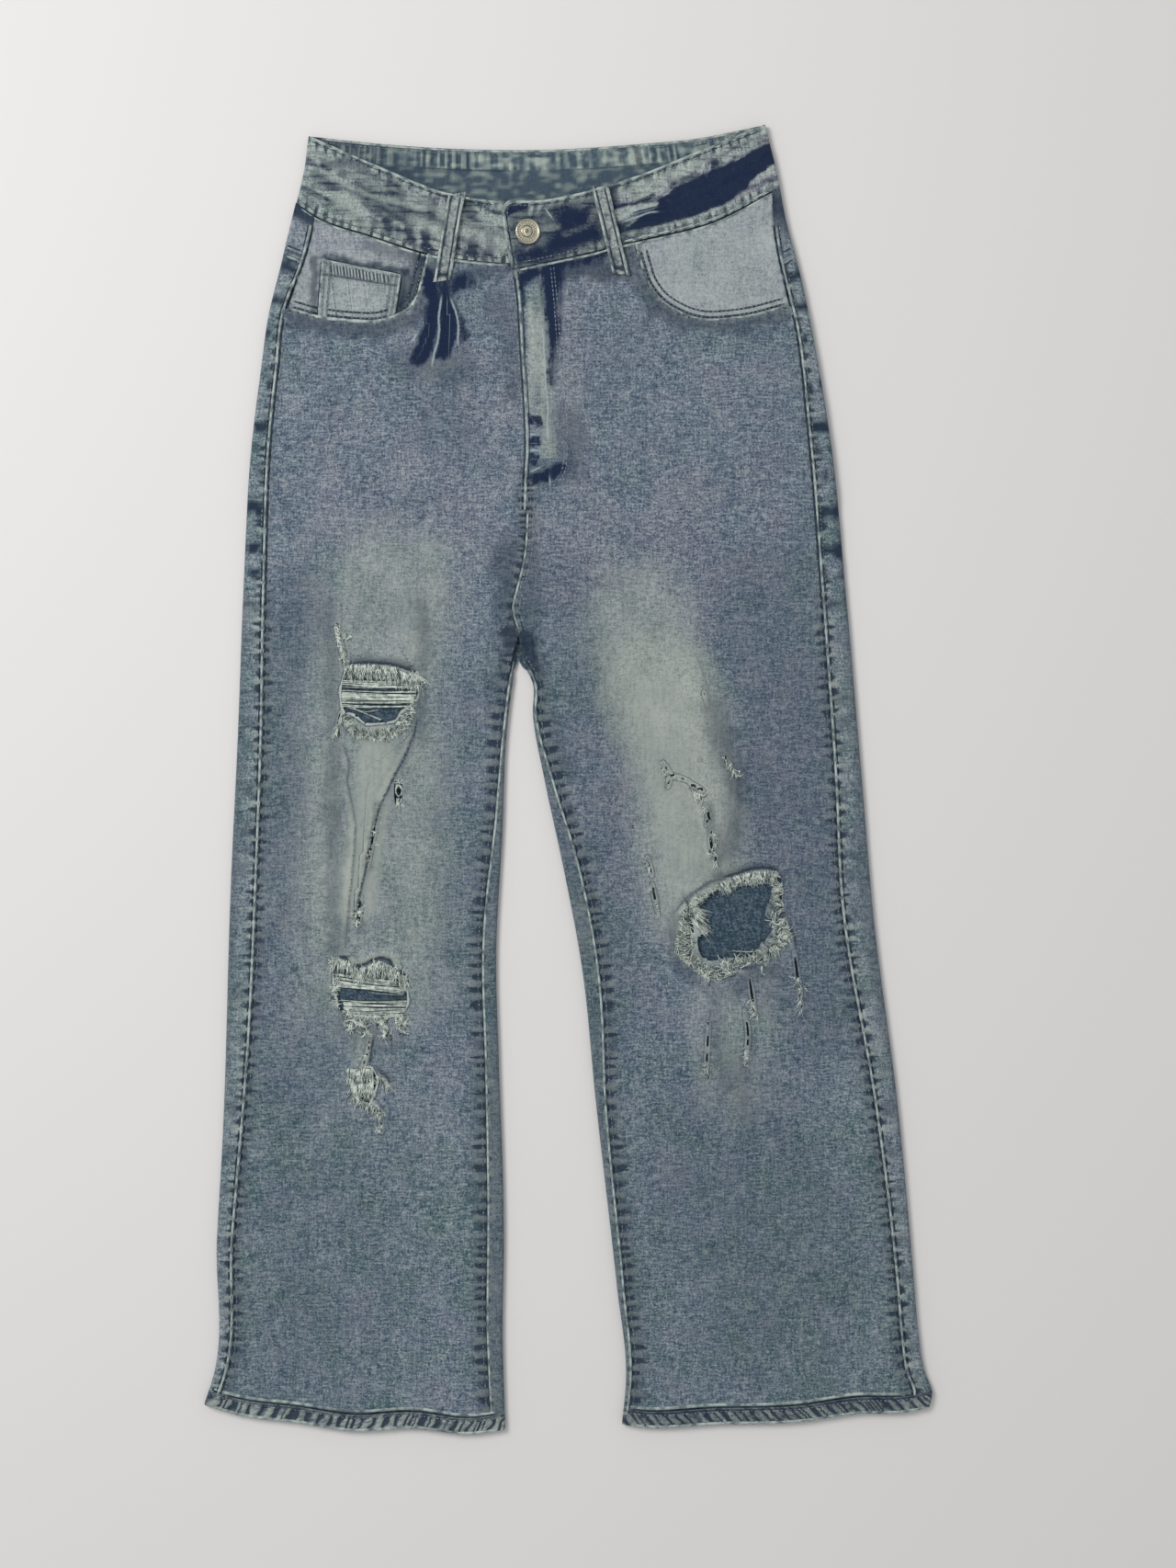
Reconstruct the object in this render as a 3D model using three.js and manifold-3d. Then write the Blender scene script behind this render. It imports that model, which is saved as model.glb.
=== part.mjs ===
// Ripped jeans laid flat on their back, front up. Millimetres: X across, +Y towards the waist, +Z up.
// "right" and "left" are the wearer's. Every panel is a thin wall round a grid of middle points.
import * as THREE from 'three';
import { mergeVertices } from 'three/addons/utils/BufferGeometryUtils.js';
import Module from 'manifold-3d';

// ---- driving dimensions ----
const seamGap = 0.3;           // between pieces that are sewn together, and between layers
const denim = 1.2;             // one layer of denim, with its seam bulk
const lightCloth = 1.0;        // facings, coin pocket, fly shield, zip tape
const bandThickness = 2.2;     // two layers and interfacing
const hemThickness = 2.4;      // three layers
const loopThickness = 1.4;
const hemHeight = 12;
const seatLift = 1.5;          // the seat lies on the back pockets and back belt loops
const seatLiftFrom = 195;      // height where the lift starts, and where it is complete
const seatLiftTo = 225;
const belowCloth = -5;
const legFold = 2.2;           // radius of a folded edge, middle of the cloth
const waistFold = 1.75;
const legSag = 3.0;            // level of a leg's front between its seams
const frontLevel = 6.1;        // level of the front over pockets
const underBandLevel = 5.1;    // right end of the waistband, under the tab
const sideBandLevel = 5.6;     // waistband at the side folds
const tabLevel = 7.6;          // left end of the waistband, over the right
const flyLevel = 7.0;          // left front over the zip
const flyStart = 235;          // the fly opens above this height
const flyEnd = 228;
const frontCrotch = 111;
const backCrotch = 93;
const waistSeamGap = 0.5;
const hipStart = 150;          // the fronts leave the legs' level above this height
const flySteps = { left: [5, 50], right: [-95, -45] };       // where the fronts step to the fly, across
const bandSteps = { left: [9, 62], right: [-120, -60] };     // the same for the waistband
const hemLevel = -480;         // about the height of the hems
const yokeLevel = 410;         // about the height of the yokes
const curlLength = 9;          // back cloth that lies flat beside its centre seam
const loopWidth = 12.5;
const loopLength = 66;
const loopBow = 1.6;           // how far a front belt loop stands off at its middle
const loopReach = 7;           // the cloth under a loop is looked at this far to both sides
const buttonRadius = 9.8;
const buttonTilt = 10;         // degrees
const buttonFacets = 24;
const capGap = 1.9;            // room between the tab and the button's cap
const tiltGap = 0.4;           // room for the tilted shank over the underlap
const shankRadius = 1.9;

const wasm = await Module();
wasm.setup();

// ---- helpers ----
const { lerp, smoothstep, degToRad } = THREE.MathUtils;

// smooth curve through points [at, value], given in rising order of the first number
function curve(points) {
  const along = points.map(point => point[0]);
  const values = points.map(point => point[1]);
  const spline = new THREE.CubicInterpolant(along, values, 1);
  return at => spline.evaluate(at)[0];
}

// the same, for outline points [x, y] read off from the hem up: x at a height
function edge(points) {
  return curve(points.map(([x, y]) => [y, x]));
}

function facingOut(geometry) {
  const position = geometry.attributes.position;
  const index = geometry.index;
  const corner = [0, 1, 2].map(() => new THREE.Vector3());
  let volume = 0;
  for (let i = 0; i < index.count; i += 3) {
    corner.forEach((point, k) => point.fromBufferAttribute(position, index.getX(i + k)));
    volume += corner[0].dot(corner[1].clone().cross(corner[2]));
  }
  if (volume < 0) {
    for (let i = 0; i < index.count; i += 3) {
      const first = index.getX(i);
      index.setX(i, index.getX(i + 1));
      index.setX(i + 1, first);
    }
  }
  return geometry;
}

// closed wall of a given thickness round a grid of middle points, grid[row][column];
// a ring's columns run round and meet
function wall(grid, thickness, ring = false) {
  const rows = grid.length;
  const columns = grid[0].length;
  const columnAt = i => (ring ? (i + columns) % columns : THREE.MathUtils.clamp(i, 0, columns - 1));
  const rowAt = j => THREE.MathUtils.clamp(j, 0, rows - 1);
  const vertices = [];
  for (const side of [1, -1]) {
    for (let j = 0; j < rows; j++) {
      for (let i = 0; i < columns; i++) {
        const across = grid[j][columnAt(i + 1)].clone().sub(grid[j][columnAt(i - 1)]);
        const along = grid[rowAt(j + 1)][i].clone().sub(grid[rowAt(j - 1)][i]);
        const normal = across.cross(along).normalize();
        const point = grid[j][i].clone().addScaledVector(normal, side * thickness / 2);
        vertices.push(point.x, point.y, point.z);
      }
    }
  }
  const at = (side, j, i) => (side * rows + j) * columns + columnAt(i);
  const triangles = [];
  const quad = (a, b, c, d) => triangles.push(a, b, c, a, c, d);
  const lastColumn = ring ? columns : columns - 1;
  for (let j = 0; j < rows - 1; j++) {
    for (let i = 0; i < lastColumn; i++) {
      quad(at(0, j, i), at(0, j, i + 1), at(0, j + 1, i + 1), at(0, j + 1, i));
      quad(at(1, j, i), at(1, j + 1, i), at(1, j + 1, i + 1), at(1, j, i + 1));
    }
  }
  for (let i = 0; i < lastColumn; i++) {
    quad(at(0, 0, i), at(1, 0, i), at(1, 0, i + 1), at(0, 0, i + 1));
    quad(at(0, rows - 1, i), at(0, rows - 1, i + 1), at(1, rows - 1, i + 1), at(1, rows - 1, i));
  }
  if (!ring) {
    for (let j = 0; j < rows - 1; j++) {
      const end = columns - 1;
      quad(at(0, j, 0), at(0, j + 1, 0), at(1, j + 1, 0), at(1, j, 0));
      quad(at(0, j, end), at(1, j, end), at(1, j + 1, end), at(0, j + 1, end));
    }
  }
  const geometry = new THREE.BufferGeometry();
  geometry.setAttribute('position', new THREE.Float32BufferAttribute(vertices, 3));
  geometry.setIndex(triangles);
  return facingOut(geometry);
}

function plate(outline, low, thickness) {
  const shape = new THREE.Shape(outline.map(([x, y]) => new THREE.Vector2(x, y)));
  const geometry = new THREE.ExtrudeGeometry(shape, { depth: thickness, bevelEnabled: false });
  return geometry.translate(0, 0, low);
}

function solidOf(geometry) {
  const bare = geometry.clone();
  bare.deleteAttribute('normal');
  bare.deleteAttribute('uv');
  const merged = mergeVertices(bare);
  return new wasm.Manifold(new wasm.Mesh({
    numProp: 3,
    vertProperties: merged.attributes.position.array,
    triVerts: Uint32Array.from(merged.index.array),
  }));
}

// the cloth without what lies inside the outlines, from a level up
function cutOut(geometry, outlines, low = belowCloth) {
  const reach = 30;
  let solid = solidOf(geometry);
  for (const outline of outlines) {
    solid = solid.subtract(solidOf(plate(outline, low, reach)));
  }
  const mesh = solid.getMesh();
  const result = new THREE.BufferGeometry();
  result.setAttribute('position', new THREE.BufferAttribute(mesh.vertProperties, 3));
  result.setIndex(new THREE.BufferAttribute(mesh.triVerts, 1));
  return result;
}

// ---- outline of the garment, as it lies ----
// across: +1 where x grows from the inner edge of the leg to its outer edge
const right = {
  name: 'right',
  across: -1,
  outer: edge([[-277.5, -476], [-271, -456], [-268, -351], [-264, -281], [-257, -71], [-252, 34], [-248, 139],
    [-241, 258], [-234, 314], [-228, 356], [-221, 384], [-211, 426], [-201, 468], [-198, 490]]),
  inner: edge([[-48, -495], [-50, -421], [-49, -351], [-53, -211], [-55, -141], [-50, -36], [-47, 34],
    [-42, 76], [-39, 93]]),
  // width of the back that shows in front of the fold, at the side seam and at the inseam
  sideInset: curve([[-476, 9], [-386, 12], [-280, 15], [-176, 19], [180, 16], [313, 13], [355, 12], [400, 17],
    [440, 17]]),
  inseamInset: curve([[-495, 11], [-370, 13], [-225, 11], [-90, 10], [-22, 6], [20, 4], [93, 3.5]]),
  hemLine: curve([[-278, -476], [-250, -484], [-205, -490], [-165, -496], [-118, -494], [-76, -498.4],
    [-48, -495]]),
  waistSeam: curve([[-210, 441], [-194, 430], [-150, 414], [-105, 400], [-44, 393], [8, 393]]),
  bandTop: curve([[-198, 490], [-145, 467], [-91, 446], [-49, 440], [8, 441]]),
};
const left = {
  name: 'left',
  across: 1,
  outer: edge([[275.5, -478], [277.5, -467], [272, -452], [267, -421], [264, -386], [251, -246], [233, -106],
    [224, -1], [212, 139], [200, 258], [191, 314], [177, 384], [166, 426], [158, 468], [150, 499]]),
  inner: edge([[41, -491], [44, -456], [37, -386], [21, -246], [10, -141], [-3, -71], [-18, -1], [-27, 48],
    [-28, 76], [-38, 93]]),
  sideInset: curve([[-478, 15], [-386, 14], [-246, 18], [-90, 24], [0, 21], [130, 19], [270, 16], [340, 12],
    [390, 13], [445, 7]]),
  inseamInset: curve([[-491, 4], [-386, 6], [-246, 8.5], [-170, 12.5], [-50, 12], [-8, 8], [50, 3.5],
    [93, 3.5]]),
  hemLine: curve([[41, -491], [55, -493], [114, -491], [177, -489], [219, -483], [262, -481], [278, -477]]),
  waistSeam: curve([[-44, 388], [-13, 394.5], [29, 404], [50, 409.5], [113, 426], [161, 451]]),
  bandTop: curve([[-50, 440], [-20, 440.5], [17, 448], [57, 461], [99, 478], [150, 498.5]]),
};
const legs = [right, left];

const centreBack = curve([[backCrotch, -38], [240, -32], [432, -26]]);
const centreFront = edge([[-38, 111], [-43, 132], [-40, 145], [-34.6, 167], [-32, 201], [-32, 228]]);
const flyEdge = edge([[-32.6, 230], [-32, 258], [-32.5, 314], [-34.6, 363], [-43, 388]]);
const flyUnderlap = 7;         // how far the right front reaches under the left
const yokeSeam = curve([[-215, 402], [-200, 396], [-26, 362], [170, 400], [185, 410]]);
const backSeam = curve([[-210, 441], [-150, 436], [-26, 431], [100, 440], [161, 451]]);
const backBandTop = curve([[-198, 490], [-142, 484], [-73, 480], [-30, 479.5], [54, 484], [96, 488],
  [150, 498.5]]);

// levels of the constant stations that all panels share, and the two partial ones below each top seam
const stations = [-445, -410, -370, -325, -280, -235, -190, -145, -100, -55, -10, 30, 60, 76, backCrotch,
  frontCrotch, 132, 150, 170, 200, 214, flyEnd, flyStart, 258, 290, 320, 345];
const partialStations = [0.5];

const seatBase = y => seatLift * smoothstep(y, seatLiftFrom, seatLiftTo);
const backLevel = y => seatBase(y) + denim / 2;
const foldRadius = y => lerp(legFold, waistFold, smoothstep(y, 250, 430));
const flapLevel = y => backLevel(y) + 2 * foldRadius(y);

const sideSeam = (leg, y) => leg.outer(y) - leg.across * leg.sideInset(y);
const inseam = (leg, y) => leg.inner(y) + leg.across * leg.inseamInset(y);

// soft ridges of the fronts: from, to, height and reach
const creases = [
  { from: [95, 101], to: [130, 2], height: 2.0, reach: 26 },
  { from: [130, 2], to: [121, -60], height: 1.6, reach: 24 },
  { from: [-172, 30], to: [-166, -130], height: 1.2, reach: 24 },
];

function creaseHeight(x, y) {
  let total = 0;
  for (const crease of creases) {
    const from = new THREE.Vector2(...crease.from);
    const span = new THREE.Vector2(...crease.to).sub(from);
    const offset = new THREE.Vector2(x, y).sub(from);
    const share = THREE.MathUtils.clamp(offset.dot(span) / span.lengthSq(), 0, 1);
    const distance = offset.addScaledVector(span, -share).length();
    total = Math.max(total, crease.height * (1 - smoothstep(distance, 0, crease.reach)));
  }
  return total;
}

// ---- sections ----
const foldFacets = 4;

// half turn round a folded edge, from the lower layer up to the upper one; inward points into the cloth
function foldedEdge(edgeX, inward, lowLevel, highLevel, thickness) {
  const radius = (highLevel - lowLevel) / 2;
  const centreX = edgeX + inward * (radius + thickness / 2);
  const points = [];
  for (let k = 0; k <= foldFacets; k++) {
    const turn = Math.PI * (k / foldFacets - 0.5);
    points.push([centreX - inward * radius * Math.cos(turn), lowLevel + radius + radius * Math.sin(turn)]);
  }
  return points;
}

// the lower layer between two places, ends left out
function between(from, to, level, count) {
  const points = [];
  for (let k = 1; k <= count; k++) {
    points.push([lerp(from, to, k / (count + 1)), level]);
  }
  return points;
}

// back panel from its inner end to the side seam: [x, z] points
function backSection(leg, y) {
  const low = backLevel(y);
  const high = flapLevel(y);
  const outerFold = foldedEdge(leg.outer(y), -leg.across, low, high, denim);
  let innerEnd;
  if (y < backCrotch) {
    innerEnd = foldedEdge(leg.inner(y), leg.across, low, high, denim).reverse();
    innerEnd.unshift([inseam(leg, y) - leg.across * seamGap / 2, high]);
  } else {
    const start = centreBack(y) + leg.across * seamGap / 2;
    innerEnd = [];
    for (let k = 0; k <= foldFacets + 1; k++) {
      innerEnd.push([start + leg.across * curlLength * k / (foldFacets + 1), low]);
    }
  }
  const inside = between(innerEnd.at(-1)[0], outerFold[0][0], low, 3);
  const flapEnd = [sideSeam(leg, y) + leg.across * seamGap / 2, high];
  return [...innerEnd, ...inside, ...outerFold, flapEnd];
}

const frontColumns = [0, 0.05, 0.15, 0.28, 0.42, 0.56, 0.7, 0.83, 0.94, 1];
const seamPull = 0.25;         // share of a front's width that its seams draw to their level

function frontInnerEdge(leg, y) {
  if (y < frontCrotch) {
    return inseam(leg, y) + leg.across * seamGap / 2;
  }
  if (y < flyStart) {
    return centreFront(y) + leg.across * seamGap / 2;
  }
  return leg === left ? flyEdge(y) : flyEdge(y) + flyUnderlap;
}

// level of a front between its seams, before the edges are drawn to their neighbours
function frontBody(leg, x, y) {
  const legLevel = legSag + seatBase(y) + creaseHeight(x, y);
  const hipLevel = leg === left
    ? lerp(flyLevel, frontLevel, smoothstep(x, ...flySteps.left))
    : lerp(frontLevel, underBandLevel, smoothstep(x, ...flySteps.right));
  return lerp(legLevel, hipLevel, smoothstep(y, hipStart, flyEnd));
}

function frontSection(leg, y) {
  const innerX = frontInnerEdge(leg, y);
  const outerX = sideSeam(leg, y) - leg.across * seamGap / 2;
  const seamLevel = y < frontCrotch ? flapLevel(y) : null;
  return frontColumns.map(share => {
    const x = lerp(innerX, outerX, share);
    let z = frontBody(leg, x, y);
    z = lerp(z, flapLevel(y), 1 - smoothstep(1 - share, 0, seamPull));
    if (seamLevel !== null) {
      z = lerp(z, seamLevel, 1 - smoothstep(share, 0, seamPull));
    }
    return [x, z];
  });
}

// points of a section along a line that gives the height at each x; start is a height near it
function sectionAlong(section, heightAt, start) {
  return section(start).map((point, i) => {
    let [x, z] = point;
    let y = start;
    for (let pass = 0; pass < 4; pass++) {
      y = heightAt(x, i);
      [x, z] = section(y)[i];
    }
    return new THREE.Vector3(x, y, z);
  });
}

// grid of middle points: constant stations between a curved bottom and a curved top
function panelGrid(section, bottomLine, topLine) {
  const lowest = stations[0];
  const highest = stations.at(-1);
  const beyond = 30;
  return [
    sectionAlong(section, bottomLine, lowest - beyond),
    ...stations.map(level => sectionAlong(section, () => level, level)),
    ...[...partialStations, 1].map(share =>
      sectionAlong(section, x => lerp(highest, topLine(x), share), highest + beyond)),
  ];
}

// ---- materials ----
function finish(color, roughness, metalness = 0) {
  return new THREE.MeshStandardMaterial({ color, roughness, metalness });
}

const denimBlue = finish(0x77879a, 0.92);
const denimPale = finish(0xa3adb0, 0.92);
const denimInside = finish(0x5a6f86, 0.95);
const hemBlue = finish(0x7c8c9c, 0.92);
const zipTape = finish(0x59606a, 0.8);
const buttonMetal = finish(0xb9b4a4, 0.35, 1);

// ---- pieces ----
const jeans = new THREE.Group();

function add(name, geometry, material) {
  const mesh = new THREE.Mesh(geometry, material);
  mesh.name = name;
  jeans.add(mesh);
  return mesh;
}

const hemTop = leg => x => leg.hemLine(x) + hemHeight + seamGap;

// torn places of the fronts
const tears = {
  right: [
    // thigh
    [[-168, 83], [-142, 85], [-121, 80], [-116, 55], [-130, 50], [-155, 43], [-169, 52], [-173, 68]],
    // knee
    [[-177, -138], [-168, -143], [-150, -139], [-136, -142], [-125, -150], [-124, -176], [-150, -178],
      [-176, -175]],
    // below the knee
    [[-163, -226], [-147, -227], [-145, -236], [-154, -244], [-161, -242], [-165, -234]],
  ],
  left: [
    [[112, -85], [156, -80], [153, -90], [150, -103], [156, -109], [155, -117], [146, -129], [128, -133],
      [107, -137], [101, -131], [99, -119], [101, -99]],
  ],
};

// slanted openings of the front pockets, closed round the corner that is cut away
const pocketScoops = {
  right: [[-104, 420], [-105, 400], [-110, 381], [-114, 367], [-123, 356], [-143, 348], [-166, 348],
    [-190, 351], [-215, 358], [-240, 361], [-240, 520], [-104, 520]],
  left: [[48, 430], [50, 408], [55, 391], [60, 377], [71, 363], [88, 353], [103, 349], [117, 349],
    [140, 352], [166, 360], [200, 370], [200, 520], [48, 520]],
};

for (const leg of legs) {
  const frontGrid = panelGrid(y => frontSection(leg, y), hemTop(leg), x => leg.waistSeam(x) - waistSeamGap);
  const torn = [...tears[leg.name], pocketScoops[leg.name]];
  add(`front_leg_${leg.name}`, cutOut(wall(frontGrid, denim), torn), denimBlue);

  const backGrid = panelGrid(y => backSection(leg, y), hemTop(leg), x => yokeSeam(x) - seamGap / 2);
  add(`back_leg_${leg.name}`, wall(backGrid, denim), denimBlue);
}

// height of the waistband's lower seam; turn is 0 on the back, 1 on the front, between them round the fold
function waistSeamAt(leg, x, turn) {
  return lerp(backSeam(x), leg.waistSeam(x), turn);
}

// yokes: from the yoke seam to the waistband, round the side fold
for (const leg of legs) {
  const foldStart = backSection(leg, yokeLevel).length - foldFacets - 2;
  const rows = [0, 0.5, 1].map(share => sectionAlong(y => backSection(leg, y), (x, i) => {
    const turn = THREE.MathUtils.clamp((i - foldStart) / foldFacets, 0, 1);
    return lerp(yokeSeam(x) + seamGap / 2, waistSeamAt(leg, x, turn) - waistSeamGap, share);
  }, yokeLevel));
  add(`yoke_${leg.name}`, wall(rows, denim), denimBlue);
}

// hems: flattened rings, with a point at each point of the panels above
for (const leg of legs) {
  const low = hemThickness / 2;
  const high = flapLevel(hemLevel);
  const ring = y => {
    const outerFold = foldedEdge(leg.outer(y), -leg.across, low, high, hemThickness);
    const innerFold = foldedEdge(leg.inner(y), leg.across, low, high, hemThickness).reverse();
    const under = between(innerFold.at(-1)[0], outerFold[0][0], low, 3);
    const over = frontSection(leg, y).map(([x]) => [x, high]).reverse();
    return [...innerFold, ...under, ...outerFold, ...over];
  };
  const rows = [0, hemHeight].map(lift => sectionAlong(ring, x => leg.hemLine(x) + lift, hemLevel + lift));
  add(`hem_${leg.name}`, wall(rows, hemThickness, true), hemBlue);
}

// waistband: one strip from under the tab, round the back, to the tab
const bandLow = seatLift + bandThickness / 2;
const sideEnds = { right: [441, 490], left: [451, 498] };     // heights of its lower and upper side corners
const tabEnd = [-43, -50];
const underlapEnd = 6;

function bandLevel(leg, x) {
  return leg === left
    ? lerp(tabLevel, sideBandLevel, smoothstep(x, ...bandSteps.left))
    : lerp(sideBandLevel, underBandLevel, smoothstep(x, ...bandSteps.right));
}

// points along the strip at its lower edge (share 0) or its upper edge (share 1): x, z, leg and turn
function bandPath(share) {
  const side = leg => leg.outer(lerp(...sideEnds[leg.name], share));
  const rightFold = foldedEdge(side(right), 1, bandLow, sideBandLevel, bandThickness).reverse();
  const leftFold = foldedEdge(side(left), -1, bandLow, sideBandLevel, bandThickness);
  const frontRight = [[underlapEnd], ...between(underlapEnd, rightFold[0][0], 0, 9)];
  const back = between(rightFold.at(-1)[0], leftFold[0][0], bandLow, 9);
  const lastX = lerp(...tabEnd, share);
  const frontLeft = [...between(leftFold.at(-1)[0], lastX, 0, 10), [lastX]];
  return [
    ...frontRight.map(([x]) => ({ x, z: bandLevel(right, x), leg: right, turn: 1 })),
    ...rightFold.map(([x, z], k) => ({ x, z, leg: right, turn: 1 - k / foldFacets })),
    ...back.map(([x, z]) => ({ x, z, leg: right, turn: 0 })),
    ...leftFold.map(([x, z], k) => ({ x, z, leg: left, turn: k / foldFacets })),
    ...frontLeft.map(([x]) => ({ x, z: bandLevel(left, x), leg: left, turn: 1 })),
  ];
}

function bandRow(share) {
  return bandPath(share).map(({ x, z, leg, turn }) => {
    const upper = lerp(backBandTop(x), leg.bandTop(x), turn);
    return new THREE.Vector3(x, lerp(waistSeamAt(leg, x, turn), upper, share), z);
  });
}

const buttonAt = [-32, 416];
const buttonhole = [[-36, 413.5], [-8, 415.5], [-7, 417.5], [-9, 419], [-36, 418.8], [-37.5, 416.2]];
const band = wall([bandRow(0), bandRow(0.5), bandRow(1)], bandThickness);
// the slit goes through the tab only
const aboveUnderlap = underBandLevel + bandThickness / 2 + seamGap / 3;
add('waistband', cutOut(band, [buttonhole], aboveUnderlap), denimPale);

// pocket facings: shown in the openings, and reaching under the fronts
const facingLow = seatLift + denim + seamGap + lightCloth / 2;
const facings = [
  { leg: right, inner: edge([[-135, 333], [-104, 350], [-94, 372], [-90, 402]]) },
  { leg: left, inner: edge([[92, 333], [58, 350], [44, 372], [36, 402]]) },
];
const facingShares = [0, 0.2, 0.4, 0.6, 0.8, 0.93, 1];

// level of a facing: it rises to the waistband over its last stretch, and beside the yoke
function facingPoint({ leg }, x, y) {
  const top = leg.waistSeam(x);
  const rise = 40;
  const sideReach = 25;
  const besideYoke = smoothstep(y, 364, 385);
  const risen = lerp(facingLow, sideBandLevel - 1, smoothstep(y, top - rise, top));
  const nearSide = 1 - smoothstep(Math.abs(x - sideSeam(leg, y)), 0, sideReach);
  return lerp(risen, flapLevel(y) - 2 * seamGap, nearSide * besideYoke);
}

for (const facing of facings) {
  const { leg, inner } = facing;
  const row = heightAt => facingShares.map(share => {
    let y = 400;
    let x = 0;
    for (let pass = 0; pass < 5; pass++) {
      x = lerp(inner(y), sideSeam(leg, y) - leg.across * seamGap / 2, share);
      y = heightAt(x);
    }
    return new THREE.Vector3(x, y, facingPoint(facing, x, y));
  });
  const top = x => leg.waistSeam(x) - 2 * waistSeamGap;
  const rows = [334, 346, 358, 370].map(level => row(() => level));
  for (const share of [1 / 3, 2 / 3, 1]) {
    rows.push(row(x => lerp(370, top(x), share)));
  }
  add(`pocket_facing_${leg.name}`, wall(rows, lightCloth), denimPale);
}

// coin pocket: its points are the right facing's, moved up
const coinCorners = {
  topOuter: [-187, 395.5],
  topInner: [-128, 384],
  bottomOuter: [-191, 343],
  bottomInner: [-134, 343],
};
const coinRows = [0, 0.25, 0.5, 0.75, 1].map(down => [0, 0.33, 0.67, 1].map(across => {
  const point = k => lerp(
    lerp(coinCorners.topOuter[k], coinCorners.topInner[k], across),
    lerp(coinCorners.bottomOuter[k], coinCorners.bottomInner[k], across), down);
  const [x, y] = [point(0), point(1)];
  return new THREE.Vector3(x, y, facingPoint(facings[0], x, y) + lightCloth + seamGap);
}));
add('coin_pocket', wall(coinRows, lightCloth), denimBlue);

// fly: the shield under the right front's edge, and the closed zip between the fronts
const shieldLow = seatLift + denim + seamGap;
const zipLow = shieldLow + lightCloth + seamGap;
const shieldOutline = [[-36, 240], [-10, 232], [8, 244], [9, 386], [-38, 386]];
const zipOutline = [[-23, 243], [-10, 243], [-10, 386], [-23, 386]];
add('fly_shield', plate(shieldOutline, shieldLow, lightCloth), denimInside);
add('zip', plate(zipOutline, zipLow, lightCloth), zipTape);

// back pockets: flat on the surface, under the seat
const pocketOutlines = {
  right: [[-190, 384], [-62, 366], [-62, 262], [-118, 236], [-178, 262]],
  left: [[142, 384], [6, 362], [6, 262], [64, 236], [126, 262]],
};
for (const leg of legs) {
  add(`back_pocket_${leg.name}`, plate(pocketOutlines[leg.name], 0, denim), denimBlue);
}

// belt loops: three under the back of the waistband, two over its front
const backLoops = { back_right: [-178, 487], back_centre: [-26, 478.5], back_left: [101, 487] };
for (const [place, [x, top]] of Object.entries(backLoops)) {
  const half = loopWidth / 2;
  const low = top - loopLength;
  const outline = [[x - half, top], [x + half, top], [x + half, low], [x - half, low]];
  add(`belt_loop_${place}`, plate(outline, 0, denim), denimBlue);
}

const frontLoops = [
  { leg: right, top: [-85, 445.5], bottom: [-96, 379] },
  { leg: left, top: [24, 450], bottom: [40, 384] },
];
for (const { leg, top, bottom } of frontLoops) {
  const rows = [0, 0.1, 0.25, 0.5, 0.75, 0.9, 1].map(down => {
    const y = lerp(top[1], bottom[1], down);
    const middle = lerp(top[0], bottom[0], down);
    const sides = [middle - loopReach, middle + loopReach];
    const bandTop = Math.max(...sides.map(x => bandLevel(leg, x))) + bandThickness / 2;
    const frontTop = Math.max(...sides.map(x => frontBody(leg, x, y))) + denim / 2;
    const lift = loopBow * Math.sin(Math.PI * down);
    const z = Math.max(bandTop, frontTop) + seamGap + loopThickness / 2 + lift;
    return [-0.5, 0.5].map(share => new THREE.Vector3(middle + share * loopWidth, y, z));
  });
  add(`belt_loop_front_${leg.name}`, wall(rows, loopThickness), denimBlue);
}

// button: shank through the slit, domed cap over the tab
const shankFoot = underBandLevel + bandThickness / 2 + seamGap;
const capLow = tabLevel + bandThickness / 2 + capGap;
const capProfile = [[0, shankFoot], [shankRadius, shankFoot], [shankRadius, capLow],
  [buttonRadius - 1, capLow],
  [buttonRadius, capLow + 0.7], [buttonRadius - 0.6, capLow + 1.5], [buttonRadius - 2, capLow + 1.8],
  [3.2, capLow + 1.4], [2.6, capLow + 2.2], [0, capLow + 2.5]];
const profile = capProfile.map(([radius, height]) => new THREE.Vector2(radius, height - shankFoot));
const buttonGeometry = new THREE.LatheGeometry(profile, buttonFacets).rotateX(Math.PI / 2);
const button = add('button', buttonGeometry, buttonMetal);
button.rotation.y = degToRad(buttonTilt);
button.position.set(...buttonAt, shankFoot + tiltGap);

// the origin stands under the middle of the box
const box = new THREE.Box3().setFromObject(jeans);
const middle = box.getCenter(new THREE.Vector3());
jeans.position.set(-middle.x, -middle.y, -box.min.z);

export default jeans;
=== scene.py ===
# Ripped jeans lying flat on their back, seen from above.
# Outlines and sizes are in millimetres from the middle of the garment; meshes are made in metres.
import math

import bpy
import numpy as np
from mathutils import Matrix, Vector
from mathutils.bvhtree import BVHTree


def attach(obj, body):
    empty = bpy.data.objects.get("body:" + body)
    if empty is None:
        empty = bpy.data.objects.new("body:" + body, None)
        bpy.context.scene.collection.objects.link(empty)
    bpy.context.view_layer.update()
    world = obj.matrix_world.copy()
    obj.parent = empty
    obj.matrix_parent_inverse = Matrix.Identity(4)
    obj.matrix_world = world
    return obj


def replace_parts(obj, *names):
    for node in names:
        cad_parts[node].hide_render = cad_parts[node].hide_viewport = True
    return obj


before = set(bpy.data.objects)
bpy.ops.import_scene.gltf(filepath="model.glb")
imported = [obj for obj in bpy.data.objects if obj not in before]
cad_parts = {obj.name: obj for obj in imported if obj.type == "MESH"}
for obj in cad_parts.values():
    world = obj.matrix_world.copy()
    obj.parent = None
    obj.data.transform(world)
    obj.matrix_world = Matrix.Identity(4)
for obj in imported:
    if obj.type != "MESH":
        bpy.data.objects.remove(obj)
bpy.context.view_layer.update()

mm = 0.001
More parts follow.
